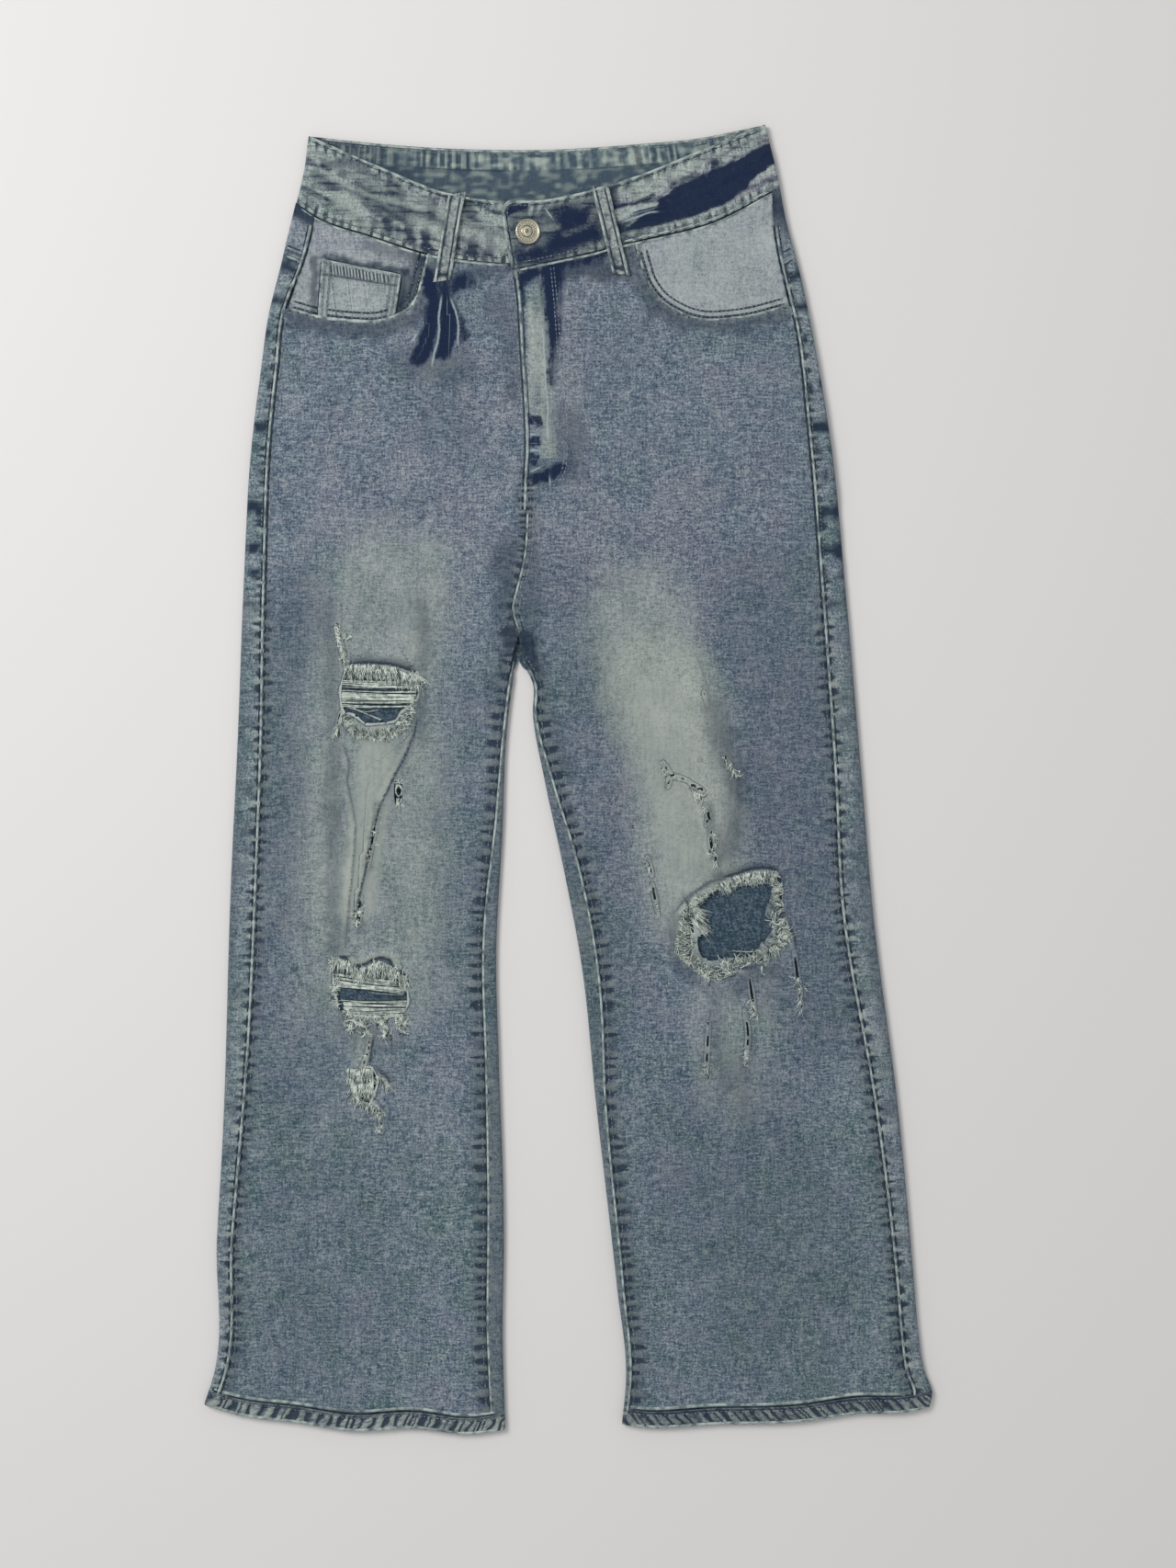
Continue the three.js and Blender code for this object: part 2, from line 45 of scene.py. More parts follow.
print("frame loaded")


# ---------- small tools ----------
def smooth(value, low, high):
    t = np.clip((value - low) / (high - low), 0, 1)
    return t * t * (3 - 2 * t)


def mix(a, b, share):
    return a + (b - a) * share


def bell(value, width=1.0):  # 1 at 0, falling softly to nothing at about two widths
    return np.exp(-(value / width) ** 2)


def evenly(count):  # shares from 0 to 1
    return np.linspace(0, 1, count)


def curve(*points):  # smooth line through points given as at, value, at, value and so on; as a function
    at, value = np.array(points, float).reshape(-1, 2).T
    step = np.diff(at)
    rise = np.diff(value) / step
    inner = (rise[1:] * step[:-1] + rise[:-1] * step[1:]) / (step[1:] + step[:-1])
    slope = np.concatenate([rise[:1], inner, rise[-1:]])

    def find(x):
        x = np.clip(x, at[0], at[-1])
        i = np.clip(np.searchsorted(at, x, side="right") - 1, 0, len(at) - 2)
        h = at[i + 1] - at[i]
        t = (x - at[i]) / h
        return ((1 + 2 * t) * (1 - t) ** 2 * value[i] + t * (1 - t) ** 2 * h * slope[i]
                + t * t * (3 - 2 * t) * value[i + 1] + t * t * (t - 1) * h * slope[i + 1])
    return find


def edge(*points):  # outline points x, y, x, y and so on, from the hem up, as x at a height
    return curve(*np.array(points, float).reshape(-1, 2)[:, ::-1].ravel())


def lumps(x, y, size, seed):  # smooth noise from -1 to 1 with lumps of that size
    table = np.random.default_rng(seed).uniform(-1, 1, (97, 97))
    u, v = x / size, y / size
    i, j = np.floor(u).astype(int), np.floor(v).astype(int)
    s, t = u - i, v - j
    s, t = s * s * (3 - 2 * s), t * t * (3 - 2 * t)
    i0, j0, i1, j1 = i % 97, j % 97, (i + 1) % 97, (j + 1) % 97
    return mix(mix(table[i0, j0], table[i1, j0], s), mix(table[i0, j1], table[i1, j1], s), t)


def smoothPath(points, step=2.0, closed=False):  # rounded line through points, evenly spaced
    p = np.array(points, float)
    ends = (p[-1:], p[:2]) if closed else (2 * p[:1] - p[1:2], 2 * p[-1:] - p[-2:-1])
    q = np.concatenate([ends[0], p, ends[1]])
    t = evenly(13)[:-1, None]
    line = []
    for a, b, c, d in zip(q[:-3], q[1:-2], q[2:-1], q[3:]):
        line.append(0.5 * (2 * b + (c - a) * t + (2 * a - 5 * b + 4 * c - d) * t ** 2
                           + (3 * b - a - 3 * c + d) * t ** 3))
    return respace(np.concatenate(line + [q[-2][None]]), step)


def respace(line, step=None, count=None):
    line = np.array(line, float)
    length = np.concatenate([[0], np.cumsum(np.linalg.norm(np.diff(line, axis=0), axis=1))])
    count = count or max(2, int(round(length[-1] / step)) + 1)
    at = np.linspace(0, length[-1], count)
    return np.stack([np.interp(at, length, line[:, k]) for k in range(line.shape[1])], axis=1)


def nearPath(x, y, path, reach=45.0):  # distance to a line, how far along it, and which side
    line = np.array(path, float)
    away = np.full(x.shape, 1e6)
    along, side = np.zeros(x.shape), np.zeros(x.shape)
    low, high = line.min(0) - reach, line.max(0) + reach
    near = (x > low[0]) & (x < high[0]) & (y > low[1]) & (y < high[1])
    px, py = x[near], y[near]
    best, bestAlong, bestSide = np.full(px.shape, 1e6), np.zeros(px.shape), np.zeros(px.shape)
    start = 0.0
    for a, b in zip(line[:-1], line[1:]):
        d = b - a
        length = math.hypot(*d)
        if length < 1e-6:
            continue
        t = np.clip(((px - a[0]) * d[0] + (py - a[1]) * d[1]) / length ** 2, 0, 1)
        ex, ey = px - a[0] - t * d[0], py - a[1] - t * d[1]
        r = np.hypot(ex, ey)
        closer = r < best
        best[closer] = r[closer]
        bestAlong[closer] = (start + t * length)[closer]
        bestSide[closer] = np.sign(d[0] * ey - d[1] * ex)[closer]
        start += length
    away[near], along[near], side[near] = best, bestAlong, bestSide
    return away, along, side


def inside(x, y, outline):
    p = np.array(outline, float)
    hit = np.zeros(x.shape, bool)
    for (ax, ay), (bx, by) in zip(p, np.roll(p, -1, 0)):
        crosses = (ay > y) != (by > y)
        hit ^= crosses & (x < (bx - ax) * (y - ay) / (by - ay + 1e-12) + ax)
    return hit


def paintStrokes(x, y, strokes, rough=2.0, seed=5):  # soft painted marks, from 0 to 1
    total = np.zeros(x.shape)
    jx = x + rough * lumps(x, y, 5, seed) + 0.6 * rough * lumps(x, y, 2.2, seed + 1)
    jy = y + rough * lumps(x, y, 5, seed + 2) + 0.6 * rough * lumps(x, y, 2.2, seed + 3)
    for mark in strokes:
        path = mark["path"]
        if mark.get("fill"):
            away, _, _ = nearPath(jx, jy, path + path[:1], mark["soft"] + 5)
            away = np.where(inside(jx, jy, path), -away, away)
            amount = 1 - smooth(away, -mark["soft"] / 2, mark["soft"] / 2)
        else:
            away, _, _ = nearPath(jx, jy, path, mark["width"] + mark["soft"])
            amount = 1 - smooth(away, mark["width"] / 2, mark["width"] / 2 + mark["soft"])
        total = 1 - (1 - total) * (1 - mark.get("amount", 1) * amount)
    return total


def waveCount(along, period, seed, spread=0.45):  # how many uneven waves have passed along a seam
    rng = np.random.default_rng(seed)
    at = np.cumsum(period * rng.uniform(1 - spread, 1 + spread, int(1400 / period)))
    return np.interp(along, at, np.arange(len(at)))


def puckers(along, period, seed, spread=0.45):  # the waves themselves, from -1 to 1
    count = waveCount(along, period, seed, spread)
    strength = np.random.default_rng(seed + 1).uniform(0.35, 1, 1400)
    return np.cos(2 * np.pi * count) * np.interp(count, np.arange(1400), strength)


# nearest seam of a list for each point: distance in reaches, wave count, strength
def seamField(x, y, seams):
    field = np.zeros(x.shape + (3,))
    field[..., 0] = 9
    for k, seam in enumerate(seams):
        away, along, _ = nearPath(x, y, seam["path"], seam["reach"] * 3)
        count = waveCount(along, seam["period"], 300 + seam["seed"]) + 40 * k
        closer = away / seam["reach"] < field[..., 0]
        field[closer] = np.stack([away / seam["reach"], count, seam["strength"] + 0 * x], -1)[closer]
    field[..., 2] *= field[..., 0] < 4
    return field


# nearest crease or seam line for each point: signed distance in mm, strength
def lineField(x, y, lines):
    reach = 18  # beyond which a line has no effect
    field = np.zeros(x.shape + (3,))
    field[..., 0] = 40
    for line in lines:
        path = smoothPath(line["path"], 3)
        length = np.linalg.norm(np.diff(path, axis=0), axis=1).sum()
        bent = 0.5 * lumps(x, y, 9, 171)
        away, along, side = nearPath(x + bent, y - bent, path, reach)
        taper = min(line.get("taper", 10), 0.4 * length)
        strength = line["strength"] * smooth(along, -1, taper) * smooth(length - along, -1, taper)
        closer = away < np.abs(field[..., 0])
        field[closer, 0] = (away * np.where(side == 0, 1, side) * line.get("turn", 1))[closer]
        field[closer, 1] = strength[closer]
    field[..., 1] *= np.abs(field[..., 0]) < reach
    return field


def seamRelief(field):  # waves of the cloth that go with a seam field
    return np.cos(2 * np.pi * field[..., 1]) * field[..., 2] * bell(field[..., 0])


# ---------- meshes ----------
allPieces = {}


def meshObject(name, points, faces, material, angle=50):
    mesh = bpy.data.meshes.new(name)
    mesh.from_pydata(np.asarray(points, float) * mm, [], faces)
    mesh.polygons.foreach_set("use_smooth", np.ones(len(mesh.polygons), bool))
    mesh.set_sharp_from_angle(angle=math.radians(angle))
    obj = bpy.data.objects.new(name, mesh)
    bpy.context.scene.collection.objects.link(obj)
    mesh.materials.append(material)
    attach(obj, "root")
    allPieces[name] = obj
    return obj


# closed cloth round a grid of middle points, without the cells that keep leaves out; paint holds the wear and
# painted shade of each grid point, and flat its place on the cloth before it was sewn
def clothMesh(name, grid, thickness, material, outward=1, keep=None, paint=None, ring=False,
              flat=None):
    rows, cols = grid.shape[:2]
    after, before = np.roll(grid, -1, 1), np.roll(grid, 1, 1)
    if not ring:
        after[:, -1], before[:, 0] = grid[:, -1], grid[:, 0]
    normal = np.cross(after - before, np.gradient(grid, axis=0))
    normal *= outward / np.maximum(np.linalg.norm(normal, axis=2, keepdims=True), 1e-9)
    points = np.concatenate([grid + normal * thickness / 2, grid - normal * thickness / 2]).reshape(-1, 3)
    ids = np.arange(rows * cols).reshape(rows, cols)
    right = np.roll(ids, -1, 1) if ring else ids[:, 1:]
    left = ids if ring else ids[:, :-1]
    if keep is None:
        keep = np.ones((rows - 1, left.shape[1]), bool)
    corners = np.stack([left[:-1], right[:-1], right[1:], left[1:]], -1)
    faces = [corners[keep], corners[keep][:, ::-1] + rows * cols]
    for k, (axis, shift) in enumerate(((0, 1), (1, -1), (0, -1), (1, 1))):  # walls along the open edges
        beside = np.roll(keep, shift, axis)
        if axis == 0 or not ring:
            beside[(slice(None),) * axis + (0 if shift > 0 else -1,)] = False
        p, q = corners[keep & ~beside][:, [k, (k + 1) % 4]].T
        faces.append(np.stack([q, p, p + rows * cols, q + rows * cols], -1))
    used, faces = np.unique(np.concatenate(faces)[:, ::outward], return_inverse=True)
    obj = meshObject(name, points[used], faces.reshape(-1, 4), material)
    paint = paint or {}

    def paintLayer(name, outerFields, innerFields=None):  # four fields make a colour, three a vector
        values = np.zeros((2, rows, cols, len(outerFields)), np.float32)
        for side, fields in enumerate((outerFields, innerFields or outerFields)):
            for k, field in enumerate(fields):
                values[side, ..., k] = field
        kind, entry = ("FLOAT_COLOR", "color") if len(outerFields) == 4 else ("FLOAT_VECTOR", "vector")
        layer = obj.data.attributes.new(name, kind, "POINT")
        layer.data.foreach_set(entry, values.reshape(2 * rows * cols, -1)[used].ravel())

    pale, ink, shade, insidePale, insideInk = (np.clip(paint.get(key, 0), 0, 1)
                                               for key in ("pale", "ink", "shade", "insidePale", "insideInk"))
    tint = 0.5 + 0.5 * np.clip(paint.get("tint", 0), -1, 1)
    paintLayer("wash", (pale, ink, tint, 0), (insidePale, insideInk, tint, 1))
    # red holds painted shade and darker wash, green places worn smooth, blue combed streaks
    paintLayer("shade_and_wear", (shade, paint.get("bare", 0), paint.get("streak", 0), 1), (0, 0, 0, 1))
    for key in ("seam", "torn", "fold"):
        if key in paint:
            paintLayer(key, tuple(np.moveaxis(paint[key], -1, 0)))
    paintLayer("cloth", tuple(np.moveaxis(grid if flat is None else flat, -1, 0)))
    return obj


# round threads, each a line of the same number of points; radii along the line
def threadMesh(name, lines, radii, material, sides=5):
    lines = np.asarray(lines, float)
    count, steps = lines.shape[:2]
    ahead = np.gradient(lines, axis=1)
    ahead /= np.maximum(np.linalg.norm(ahead, axis=2, keepdims=True), 1e-9)
    up = np.where(np.abs(ahead[..., 2:]) > 0.95, [1.0, 0, 0], [0, 0, 1.0])
    across = np.cross(ahead, up)
    across /= np.maximum(np.linalg.norm(across, axis=2, keepdims=True), 1e-9)
    over = np.cross(across, ahead)
    radii = np.broadcast_to(np.asarray(radii, float), (count, steps))
    turn = np.linspace(0, 2 * np.pi, sides, endpoint=False)
    ringPoints = (lines[:, :, None] + radii[:, :, None, None]
                  * (across[:, :, None] * np.cos(turn)[:, None] + over[:, :, None] * np.sin(turn)[:, None]))
    ids = np.arange(count * steps * sides).reshape(count, steps, sides)
    nxt = np.roll(ids, -1, 2)
    quads = np.stack([ids[:, :-1], nxt[:, :-1], nxt[:, 1:], ids[:, 1:]], -1).reshape(-1, 4)
    caps = np.concatenate([ids[:, 0, ::-1], ids[:, -1]])
    faces = [*quads.tolist(), *caps.tolist()]
    return meshObject(name, ringPoints.reshape(-1, 3), faces, material, 80)


# rolled cloth edge that lies along a line of points; width and height in mm for each point
def rollMesh(name, lines, widths, heights, material):
    base, arch = 0.4, np.linspace(0, np.pi, 5)  # depth of its foot, turn of the points over its top
    points, faces, start = [], [], 0
    for line, width, height in zip(lines, widths, heights):
        line = np.asarray(line, float)
        n = len(line)
        ahead = np.gradient(line, axis=0)
        across = np.cross(ahead, [0, 0, 1.0])
        across /= np.maximum(np.linalg.norm(across, axis=1, keepdims=True), 1e-9)
        width, height = np.broadcast_to(width, (n,)), np.broadcast_to(height, (n,))
        taper = np.minimum(1, np.minimum(np.arange(n), np.arange(n)[::-1]) / 2.0 + 0.3)
        ring = [line + across * (width * taper / 2 * math.cos(a))[:, None]
                + np.array([0, 0, 1.0]) * (height * taper * math.sin(a))[:, None] for a in arch]
        ring += [line + across * (width / 2 * c)[:, None] - [0, 0, base] for c in (-0.8, 0.8)]
        ring = np.stack(ring, 1)
        m = ring.shape[1]
        ids = start + np.arange(n * m).reshape(n, m)
        nxt = np.roll(ids, -1, 1)
        faces += np.stack([ids[:-1], nxt[:-1], nxt[1:], ids[1:]], -1).reshape(-1, 4)[:, ::-1].tolist()
        faces += [ids[0].tolist(), ids[-1][::-1].tolist()]
        points.append(ring.reshape(-1, 3))
        start += n * m
    return meshObject(name, np.concatenate(points), faces, material, 70)


# drops points onto pieces that are already made
class Surface:
    def __init__(self, names):
        points, faces, start = [], [], 0
        for name in names:
            mesh = allPieces[name].data
            co = np.zeros(len(mesh.vertices) * 3)
            mesh.vertices.foreach_get("co", co)
            loops = np.zeros(len(mesh.loops), int)
            mesh.loops.foreach_get("vertex_index", loops)
            faces += (loops.reshape(-1, 4) + start).tolist()
            points.append(co.reshape(-1, 3))
            start += len(mesh.vertices)
        self.tree = BVHTree.FromPolygons(np.concatenate(points).tolist(), faces)

    def heights(self, x, y):
        found = []
        for px, py in zip(np.ravel(x), np.ravel(y)):
            hit = self.tree.ray_cast(Vector((px * mm, py * mm, 0.1)), Vector((0, 0, -1)))[0]
            found.append(1.0 if hit is None else hit.z / mm)
        return np.array(found).reshape(np.shape(x))

    def lay(self, path, lift=0.0):  # the path with the height of what it lies on
        path = np.asarray(path, float)
        return np.column_stack([path[:, :2], self.heights(path[:, 0], path[:, 1]) + lift])


# ---------- outline of the garment, as it lies; right and left are the wearer's ----------
# across is +1 where x grows from the inner edge of the leg to its outer edge
right = dict(
    name="right", across=-1,
    outer=edge(-277.5, -476, -271, -456, -268, -351, -264, -281, -257, -71, -252, 34, -248, 139,
               -241, 258, -234, 314, -228, 356, -221, 384, -211, 426, -201, 468, -198, 490),
    inner=edge(-48, -495, -50, -421, -49, -351, -53, -211, -55, -141, -50, -36, -47, 34, -42, 76,
               -39, 93),
    sideInset=curve(-476, 9, -386, 12, -280, 15, -176, 19, 180, 16, 313, 13, 355, 12, 400, 17,
                    440, 17),
    inseamInset=curve(-495, 11, -370, 13, -225, 11, -90, 10, -22, 6, 20, 4, 93, 3.5),
    hemLine=curve(-278, -476, -250, -484, -205, -490, -165, -496, -118, -494, -76, -498.4, -48, -495),
    waistSeam=curve(-210, 441, -194, 430, -150, 414, -105, 400, -44, 393, 8, 393),
    bandTop=curve(-198, 490, -145, 467, -91, 446, -49, 440, 8, 441))
left = dict(
    name="left", across=1,
    outer=edge(275.5, -478, 277.5, -467, 272, -452, 267, -421, 264, -386, 251, -246, 233, -106,
               224, -1, 212, 139, 200, 258, 191, 314, 177, 384, 166, 426, 158, 468, 150, 499),
    inner=edge(41, -491, 44, -456, 37, -386, 21, -246, 10, -141, -3, -71, -18, -1, -27, 48,
               -28, 76, -38, 93),
    sideInset=curve(-478, 15, -386, 14, -246, 18, -90, 24, 0, 21, 130, 19, 270, 16, 340, 12,
                    390, 13, 445, 7),
    inseamInset=curve(-491, 4, -386, 6, -246, 8.5, -170, 12.5, -50, 12, -8, 8, 50, 3.5, 93, 3.5),
    hemLine=curve(41, -491, 55, -493, 114, -491, 177, -489, 219, -483, 262, -481, 278, -477),
    waistSeam=curve(-44, 388, -13, 394.5, 29, 404, 50, 409.5, 113, 426, 161, 451),
    bandTop=curve(-50, 440, -20, 440.5, 17, 448, 57, 461, 99, 478, 150, 498.5))
legs = [right, left]

backCrotch, frontCrotch, flyEnd, flyStart, flyUnderlap = 93, 111, 228, 235, 7
centreBack = curve(backCrotch, -38, 240, -32, 432, -26)
centreFront = edge(-38, 111, -43, 132, -40, 145, -34.6, 167, -32, 201, -32, 228)
flyEdge = edge(-32.6, 230, -32, 258, -32.5, 314, -34.6, 363, -43, 388)
yokeSeam = curve(-215, 402, -200, 396, -26, 362, 170, 400, 185, 410)
backSeam = curve(-210, 441, -150, 436, -26, 431, 100, 440, 161, 451)
backBandTop = curve(-198, 490, -142, 484, -73, 480, -30, 479.5, 54, 484, 96, 488, 150, 498.5)

denim, bandThickness, hemHeight, seamGap, waistGap = 1.2, 2.2, 12, 0.3, 0.5
legFold, waistFold = 2.2, 1.75  # radius of a folded edge, middle of the cloth
legSag, frontLevel, underBandLevel, sideBandLevel, tabLevel, flyLevel = 3.0, 6.1, 5.1, 5.6, 7.6, 7.0


def seatBase(y):  # the seat lies on the back pockets and back belt loops
    return 1.5 * smooth(y, 195, 225)


def foldRadius(y):
    return mix(legFold, waistFold, smooth(y, 250, 430))


def flapLevel(y):
    return seatBase(y) + denim / 2 + 2 * foldRadius(y)


def sideSeam(leg, y):
    return leg["outer"](y) - leg["across"] * leg["sideInset"](y)


def inseam(leg, y):
    return leg["inner"](y) + leg["across"] * leg["inseamInset"](y)


def frontInnerEdge(leg, y):
    gap = leg["across"] * seamGap / 2
    x = mix(inseam(leg, y) + gap, centreFront(y) + gap, smooth(y, backCrotch, frontCrotch))
    fly = flyEdge(y) if leg is left else flyEdge(y) + flyUnderlap
    return mix(x, fly, smooth(y, flyEnd, flyStart))


def frontBody(leg, x, y):
    onLeg = legSag + seatBase(y)
    if leg is left:
        onHip = mix(flyLevel, frontLevel, smooth(x, 5, 50))
    else:
        onHip = mix(frontLevel, underBandLevel, smooth(x, -95, -45))
    return mix(onLeg, onHip, smooth(y, 150, flyEnd))


def frontSection(leg, shares):
    def section(y):
        x = mix(frontInnerEdge(leg, y), sideSeam(leg, y) - leg["across"] * seamGap / 2, shares)
        z = mix(frontBody(leg, x, y), flapLevel(y), 1 - smooth(1 - shares, 0, 0.25))
        atInner = 1 - smooth(shares, 0, 0.25)
        z = mix(z, flapLevel(y), atInner * (1 - smooth(y, 100, 125)))
        if leg is right:  # drawn up to the left front along the centre seam
            drawn = atInner * smooth(y, 115, 140) * (1 - smooth(y, 222, 229))
            z = mix(z, frontBody(left, -30 + 0 * x, y), drawn)
        return x, z
    return section


def foldedEdge(edgeX, inward, low, high, thickness, turn):  # turn 0 on the lower layer, 1 on the upper
    radius = (high - low) / 2
    angle = np.pi * (turn - 0.5)
    x = edgeX + inward * (radius + thickness / 2 - radius * np.cos(angle))
    return x, low + radius + radius * np.sin(angle) + 0 * x


# back panel from its inner end to the side seam, with counts of columns in each stretch
backColumns = dict(flap=7, fold=7, under=16, sideFold=8, sideFlap=11)
curlLength = 9


def backSection(leg, y):
    n, a = backColumns, leg["across"]
    ends = np.cumsum([n["flap"], n["fold"], n["under"], n["sideFold"], n["sideFlap"]])
    flapY, foldY, underY, sideY, sideFlapY = np.split(y, ends[:-1], axis=1)
    lowOf = lambda part: seatBase(part) + denim / 2
    turn = 1 - evenly(n["fold"])
    fx, fz = foldedEdge(leg["inner"](foldY), a, lowOf(foldY), flapLevel(foldY), denim, turn)
    foldStart = foldedEdge(leg["inner"](flapY), a, lowOf(flapY), flapLevel(flapY), denim, 1.0)[0]
    flapX = mix(inseam(leg, flapY) - a * seamGap / 2, foldStart, evenly(n["flap"] + 1)[:-1])
    innerY = np.concatenate([flapY, foldY], 1)
    share = evenly(innerY.shape[1])
    flatX = centreBack(innerY) + a * (seamGap / 2 + curlLength * share)
    opened = smooth(innerY, 76, backCrotch)
    innerX = mix(np.concatenate([flapX, fx], 1), flatX, opened)
    innerZ = mix(np.concatenate([flapLevel(flapY), fz], 1), lowOf(innerY), opened)
    ox, oz = foldedEdge(leg["outer"](sideY), -a, lowOf(sideY), flapLevel(sideY), denim, evenly(n["sideFold"]))
    turn = smooth(underY, 76, backCrotch)
    fromX = mix(foldedEdge(leg["inner"](underY), a, lowOf(underY), flapLevel(underY), denim, 0.0)[0],
                centreBack(underY) + a * (seamGap / 2 + curlLength), turn)
    toX = foldedEdge(leg["outer"](underY), -a, lowOf(underY), flapLevel(underY), denim, 0.0)[0]
    underX = mix(fromX, toX, evenly(n["under"] + 2)[1:-1])
    sideStart = foldedEdge(leg["outer"](sideFlapY), -a, lowOf(sideFlapY), flapLevel(sideFlapY), denim, 1.0)[0]
    flap = mix(sideStart, sideSeam(leg, sideFlapY) + a * seamGap / 2, evenly(n["sideFlap"] + 1)[1:])
    return (np.concatenate([innerX, underX, ox, flap], 1),
            np.concatenate([innerZ, lowOf(underY), oz, flapLevel(sideFlapY)], 1))


# rows of points: from a curved bottom line up to the lowest level, level ones, then up to a curved top line
def panelGrid(section, columns, levels, bottomLine, topLine, bottomCount, topCount):
    bottomShares = np.arange(bottomCount)[:, None] / bottomCount
    topShares = (np.arange(topCount)[:, None] + 1) / topCount
    level = levels[:, None] + np.zeros(columns)
    y = np.concatenate([levels[0] - 30 * (1 - bottomShares) + 0 * level[:1], level,
                        levels[-1] + 50 * topShares + 0 * level[:1]])
    for _ in range(5):
        x, z = section(y)
        y = np.concatenate([mix(bottomLine(x[:bottomCount]), levels[0], bottomShares), level,
                            mix(levels[-1], topLine(x[len(x) - topCount:]), topShares)])
    x, z = section(y)
    return np.stack([x, y, z], -1)


def hemTop(leg):
    return lambda x: leg["hemLine"](x) + hemHeight + seamGap


def sharesAcross(columns):  # shares across a front, closer together near its two seams
    step, reach, width = 1.3, 14, 205
    sides = np.arange(0, reach, step)
    middle = np.linspace(reach, width - reach, columns - 2 * len(sides))
    return np.concatenate([sides, middle, width - sides[::-1]]) / width


def levelsBetween(*stretches):  # heights from (from, to, step) stretches
    return np.concatenate([np.arange(*stretch) for stretch in stretches] + [[stretches[-1][1]]])
# ---------- wear and painted shade: torn places, creases and washed marks ---
def pairs(*xy):  # points from their numbers in a row: x, y, x, y and so on
    return list(zip(xy[::2], xy[1::2]))


def each(make, *rows):
    return [make(*row) for row in rows]


def stroke(width, soft, amount, *xy):
    return dict(path=pairs(*xy), width=width, soft=soft, amount=amount)


def patch(soft, amount, *xy):
    return dict(path=pairs(*xy), fill=True, soft=soft, amount=amount)


def slit(width, *xy):
    return dict(path=pairs(*xy), width=width)


def crease(depth, reach, turn, *xy):  # turn is -1 where the lit side lies right of the line
    return dict(path=pairs(*xy), depth=depth, reach=reach, turn=turn)


def ridge(height, reach, *xy):
    return dict(path=pairs(*xy), height=height, reach=reach)


# torn openings through the fronts; each is the bare hole, its edges are frayed below
tears = dict(
    right=dict(
        thigh=pairs(-168, 84, -151, 84, -132, 82, -123, 78, -113, 75, -116, 62, -122, 56, -128, 52, -133, 45,
                    -153, 43, -163, 50, -171, 53, -173, 67),
        knee=pairs(-177, -142, -158, -147, -136, -143, -125, -154, -123, -170, -128, -179, -146, -180,
                   -167, -178, -175, -172, -178, -156),
        shin=pairs(-163, -223, -151, -220, -146, -229, -149, -240, -153, -248, -159, -246, -163, -236),
        knot=pairs(-132, -2, -127, -2, -127, -17, -132, -17)),
    left=dict(
        wideKnee=pairs(112, -85, 127, -82, 156, -80, 154, -90, 150, -103, 156, -109, 154, -117, 145, -129,
                       139, -135, 122, -136, 107, -138, 100, -132, 99, -119, 107, -117, 101, -102, 99, -94),
        corner=pairs(90, -108, 94, -107, 96, -118)))
edgeWidth = dict(knot=0.6, wideKnee=7.0)  # of the bleached edge, where it isn't the usual
edgeBleach = dict(knot=0.2, wideKnee=0.2)
slits = dict(
    right=each(slit, (2.6, -177, 115, -173, 101, -169, 85), (2.0, -145, -25, -148, -40, -153, -68),
               (3.2, -158, -89, -160, -112), (1.8, -151, -194, -153, -208, -158, -222),
               (2.8, -147, -246, -143, -257, -142, -269), (2.0, -174, 51, -177, 34)),
    left=each(slit, (2.6, 72, 13, 77, 4, 76, -6), (1.8, 76, 4, 92, -1), (2.8, 93, -3, 103, -9),
              (2.4, 104, -19, 107, -27, 105, -35), (3.2, 109, -39, 109, -50, 113, -62),
              (2.8, 118, 18, 129, 2), (2.2, 60, -59, 64, -74), (2.4, 64, -80, 68, -101),
              (2.8, 172, -131, 174, -145, 178, -176), (2.6, 138, -151, 142, -179),
              (2.2, 134, -175, 137, -194, 135, -215), (2.0, 107, -185, 105, -225), (1.0, 103, 67, 106, 56)))
# a sharp line of the folded cloth with softer cloth on both sides
creases = dict(
    right=each(crease, (2.0, 4, 1, -170, 88, -151, 89, -132, 87, -111, 80),
               (2.0, 4, -1, -181, -136, -170, -135, -167, -141, -158, -142, -145, -136, -136, -138, -133,
                -144, -120, -152),
               (1.2, 4, -1, -170, 43, -158, 32, -135, 32, -121, 39),
               (1.5, 3, 1, -150, -218, -142, -224, -136, -230, -140, -238),
               (1.2, 3, -1, -164, -240, -158, -248, -150, -253),
               (1.1, 6, 1, -173, 30, -167, 12, -168, -3, -162, -35, -165, -78, -170, -134),
               (1.5, 7, 1, -114, 52, -120, 28, -135, -3, -145, -25, -155, -70, -163, -114),
               (0.8, 9, 1, -110, 137, -111, 110, -116, 90),
               (1.6, 6, 1, -144, -193, -149, -199, -151, -211, -151, -222),
               (0.5, 14, 1, -181, 145, -186, 103, -180, 75), (0.4, 16, 1, -83, 201, -104, 145)),
    left=each(crease, (2.0, 4, 1, 114, -76, 127, -72, 142, -68, 156, -68, 162, -77, 164, -87),
              (1.6, 4, 1, 121, -138, 131, -143, 142, -147), (1.6, 4, 1, 167, -106, 173, -123, 174, -134),
              (1.2, 4, 1, 79, -106, 86, -96, 97, -82),
              (0.9, 6, 1, 95, 101, 104, 78, 111, 52, 116, 34, 127, 9),
              (1.0, 6, 1, 130, 2, 129, -14, 125, -33, 118, -54), (1.0, 5, 1, 99, -15, 107, -40, 114, -71),
              (0.4, 16, 1, 21, 105, 45, 18, 61, -63), (0.5, 10, 1, 78, 40, 86, -2),
              (0.7, 7, 1, 57, -57, 68, -106, 75, -127)))
